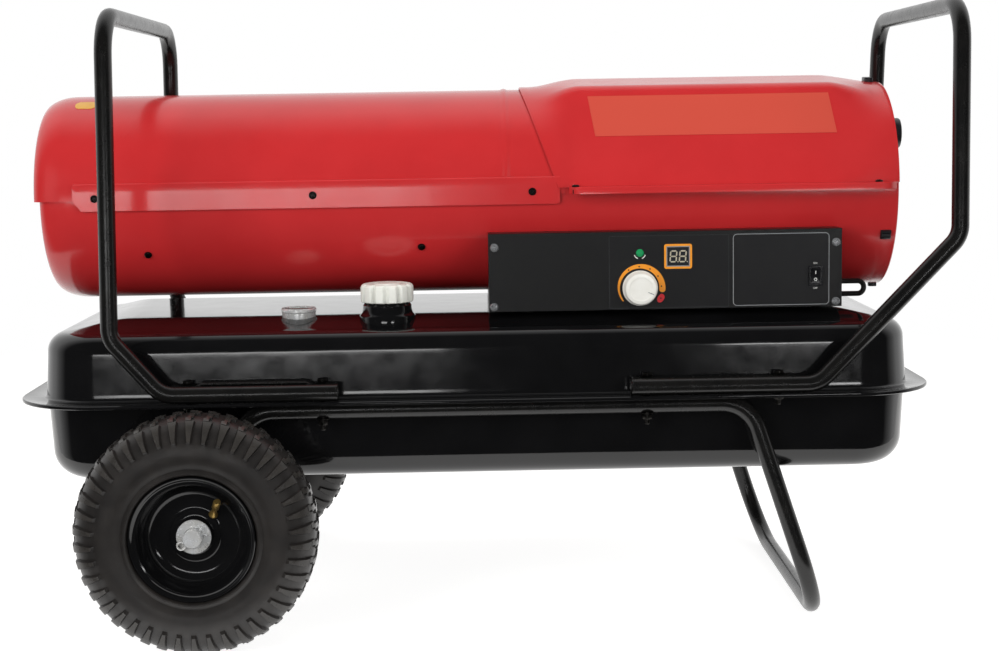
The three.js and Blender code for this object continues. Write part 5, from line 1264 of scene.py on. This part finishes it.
def ribbed_knob():
    """The ribbed grip and the plain stem that goes through the panel."""
    profile = [(0.01, 0), (19.4, 0), (19.7, 0.4), (19.7, 2), (19.0, 2.8), (18.7, 3.4), (17.9, 13.6),
               (17.0, 15.2), (15.4, 15.9), (13, 16), (12.6, 15.6), (8, 15.5), (0.01, 15.5)]
    ribs = 36
    grip = fluted("grip", profile, ribs * 6,
                  lambda r, h, a: 0.45 * max(0, math.cos(ribs * a)) if 3 < h < 15 else 0,
                  lambda u, v, h: (KNOB[0] + u, FACE_Y - 0.3 - h, KNOB[1] + v))
    stem = [(0, 8.9), (3, 8.9), (3, -0.4), (0, -0.4)]
    return joined("ribbed_knob", grip, turned("stem", stem, "Y", (KNOB[0], FACE_Y, KNOB[1]), 24))


finish(ribbed_knob(), "white_plastic", white_abs, "thermostat_knob", body="knob")
# a grey strip on the knob's top where the pointer groove is: painted shade, no groove is cut
pointer = sheet_box("knob_groove_painted_shade", (7, 0.4, 0.8), (12, 0, 0), about=(0, 0, 0), ease=0.1)
pointer.data.transform(Matrix.Translation(Vector((KNOB[0], FACE_Y - 16.2, KNOB[1])) * MM)
                       @ Matrix.Rotation(math.radians(24), 4, "Y"))
finish(pointer, "white_plastic", grey_print_and_groove_shade, body="knob")

# Green lamp with its two printed brackets, and the display: orange frame, smoked window, digits.


def acrylic(name, colour, size_mm, height_mm, **inputs):
    """Clear-topped moulded plastic of one colour, with a fine ripple."""
    made, tree = bare_material(name)
    bump = add(tree, "Bump", {"Height": grainy(tree, size_mm), "Distance": height_mm * MM})
    skin = add(tree, "BsdfPrincipled", {"Base Color": linear(colour), "Roughness": 0.12, "IOR": 1.49,
                                        "Normal": bump.outputs[0], **inputs})
    add(tree, "OutputMaterial", {"Surface": skin.outputs[0]})
    return made


lamp_green = acrylic("green_lamp_acrylic", "#1f8f55", 1.0, 0.02,
                     **{"Subsurface Weight": 0.2, "Subsurface Radius": (0.001, 0.003, 0.002)})
LAMP = (171.2, 411.5)
dome = [(0, 10), (3.5, 10), (3.5, -0.3), (4.5, -0.3), (4.5, -1.2), (4.1, -2.2), (3.0, -2.9), (1.4, -3.2),
        (0, -3.3)]
finish(turned("green_lamp", dome, "Y", (LAMP[0], FACE_Y, LAMP[1]), 32), "green_lens", lamp_green,
       "indicator_lamp")
white_ink = shaded("white_print", "#d8d8d4", "#cfcfca", 4, (0.4, 0.5), [(0.6, 0.002)], IOR=1.5)
brackets = []
for start, stop in ((200, 250), (290, 340)):
    turns = [math.radians(start + (stop - start) * k / 8) for k in range(9)]
    path = [(7.0, t) for t in turns] + [(6.0, t) for t in reversed(turns)]
    outline = [(LAMP[0] + r * math.cos(t), LAMP[1] + r * math.sin(t)) for r, t in path]
    brackets.append(on_panel("bracket", outline, 0.2, 0.1))
dx, dz = 213.7, 407.2  # middle of the display
DISPLAY_W, DISPLAY_H = 31.0, 27.5


def words(text, x, z):
    """Plain upright lettering on the panel, made a mesh before it is placed."""
    bpy.ops.object.select_all(action="DESELECT")
    bpy.ops.object.text_add()
    thing = bpy.context.object
    thing.data.body, thing.data.size, thing.data.extrude = text, 2.8 * MM, 0.06 * MM
    thing.data.align_x, thing.data.align_y = "CENTER", "CENTER"
    thing.data.resolution_u = 4
    bpy.ops.object.convert(target="MESH")
    thing = bpy.context.object
    place = Matrix.Translation(Vector((x, FACE_Y - 0.3, z)) * MM)
    thing.data.transform(place @ Matrix.Rotation(math.pi / 2, 4, "X"))
    return thing


sx, sz = 367.4, 382.8  # middle of the switch
finish(joined("printed_marks", *brackets, words("ON", sx, sz + 14), words("OFF", sx, sz - 14)),
       "white_plastic", white_ink)
smoked = acrylic("smoked_display_acrylic", "#26282b", 2.0, 0.005)
eased_solid("smoked_display_window", "display_window", 0.4, "lens", smoked)
FRONT = FACE_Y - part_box("display_window")[0][1] / MM  # how far the window stands off the panel
BEZEL = 2.3  # width of the orange frame
for name, grow, r, width, rise, thickness, slot, ink in (
        ("orange_display_frame", 0.0, 2.2, BEZEL, 0.2, FRONT + 0.3, "white_plastic", orange_ink),
        ("grey_display_bezel", -BEZEL, 0.8, 1.1, FRONT - 0.1, 0.3, "black_plastic", grey_print_and_groove_shade)):
    half_w, half_h = DISPLAY_W / 2 + grow, DISPLAY_H / 2 + grow
    finish(frame_line(name, dx - half_w, dx + half_w, dz - half_h, dz + half_h, r, width, rise, thickness),
           slot, ink)
digit_grey = shaded("unlit_digit_print", "#b3ab97", "#a59d8b", 3, (0.4, 0.5), [(0.6, 0.002)], IOR=1.5)


def segment(cx, cz, length, upright):
    """Outline of one stroke of a digit, leaning a little."""
    half, w, slant = length / 2, 0.75, 0.08
    shape = [(-half, 0), (-half + w, w), (half - w, w), (half, 0), (half - w, -w), (-half + w, -w)]
    if upright:
        shape = [(-v, u) for u, v in shape]
    return [(cx + u + slant * (cz + v - dz), cz + v) for u, v in shape]


segments = []
for cx in (dx - 5.2, dx + 5.2):
    segments += [segment(cx, dz + row * 6.0, 6.0, False) for row in (-1, 0, 1)]
    segments += [segment(cx + column * 3.4, dz + row * 3.0, 5.4, True)
                 for column in (-1, 1) for row in (-1, 1)]
    segments.append(circle(cx + 5, dz - 6, 0.7, 8))
finish(joined("unlit_digits", *[on_panel("segment", s, FRONT + 0.12, 0.12) for s in segments]),
       "white_plastic", digit_grey)

# Rocker switch: glossy black moulding, its rocker marked I and O.
gloss_abs = shaded("gloss_black_abs", "#101012", "#161618", 6, (0.14, 0.22), [(1.0, 0.006)], IOR=1.54)
eased_solid("moulded_switch_body", "switch_body", 0.7, "black_plastic", gloss_abs)
eased_solid("switch_rocker_cap", "switch_rocker", 0.5, "black_plastic", gloss_abs, body="rocker")
ROCKER_Y, ROCKER_HALF, MARK_T = FACE_Y - 1.92, 7.75, 0.12  # middle of its face, half its height, ink
stroke = [(sx - 0.5, sz + 2), (sx + 0.5, sz + 2), (sx + 0.5, sz + 5.6), (sx - 0.5, sz + 5.6)]
bar_mark = swept_plate("mark", stroke, 0, MARK_T, (0, 0, 0), axis="Y")
for vertex in bar_mark.data.vertices:  # laid on the raised half
    vertex.co.y += (ROCKER_Y - 1.8 * (vertex.co.z / MM - sz) / ROCKER_HALF) * MM
outer, inner = [circle(sx, sz - 4, r, 24) for r in (1.8, 1.15)]  # laid on the lowered half
lay = [[(x, ROCKER_Y - 0.4 * (sz - z) / ROCKER_HALF - depth, z) for x, z in ring + ring[:1]]
       for ring, depth in ((outer, 0), (outer, MARK_T), (inner, MARK_T), (inner, 0))]
ring_mark = tidied(shaped_grid("ring_mark", lay + lay[:1]))
finish(joined("rocker_marks", bar_mark, ring_mark), "white_plastic", white_ink, body="rocker")

# ---- inside the housing ---------------------------------------------------------------------
# A printed circuit board on four spacers, and the potted ignition transformer.
board_green = shaded("green_solder_mask", "#1d5b34", "#184c2c", 3, (0.3, 0.4), [(1.2, 0.02)], IOR=1.5)
potted = shaded("potting_resin", "#1c1a18", "#26231f", 9, (0.3, 0.45), [(2.0, 0.05)], IOR=1.55)
eased_solid("green_circuit_board", "circuit_board", 0.2, "board_green", board_green)
eased_solid("potted_transformer", "ignition_transformer", 1.2, "black_plastic", potted)

# ---- fuel hose ------------------------------------------------------------------------------
# Black rubber hose: out of the housing's end through a grommet, round, and back in through another.
HOSE_Y, HOSE_HIGH, HOSE_LOW, HOSE_R = -98.0, 372.0, 357.5, 3.0
HOSE = [(395.8, HOSE_Y, HOSE_HIGH), (431, HOSE_Y, HOSE_HIGH), (431, HOSE_Y, HOSE_LOW),
        (395.8, HOSE_Y, HOSE_LOW)]
hose_rubber = shaded("smooth_hose_rubber", "#141313", "#1e1c1b", 10, (0.3, 0.42), [(1.2, 0.02)], IOR=1.52)
grommet = [(2.9, 397.4), (6.2, 397.4), (6.2, 399.2), (4.8, 400.2), (3.7, 403), (2.9, 403)]
finish(joined("rubber_fuel_hose", bar("hose", bend_points(HOSE, [7, 7], 12), HOSE_R, 24),
              *[turned("grommet", grommet, "X", (0, HOSE_Y, z), 32) for z in (HOSE_HIGH, HOSE_LOW)]),
       "black_plastic", hose_rubber, "fuel_hose")
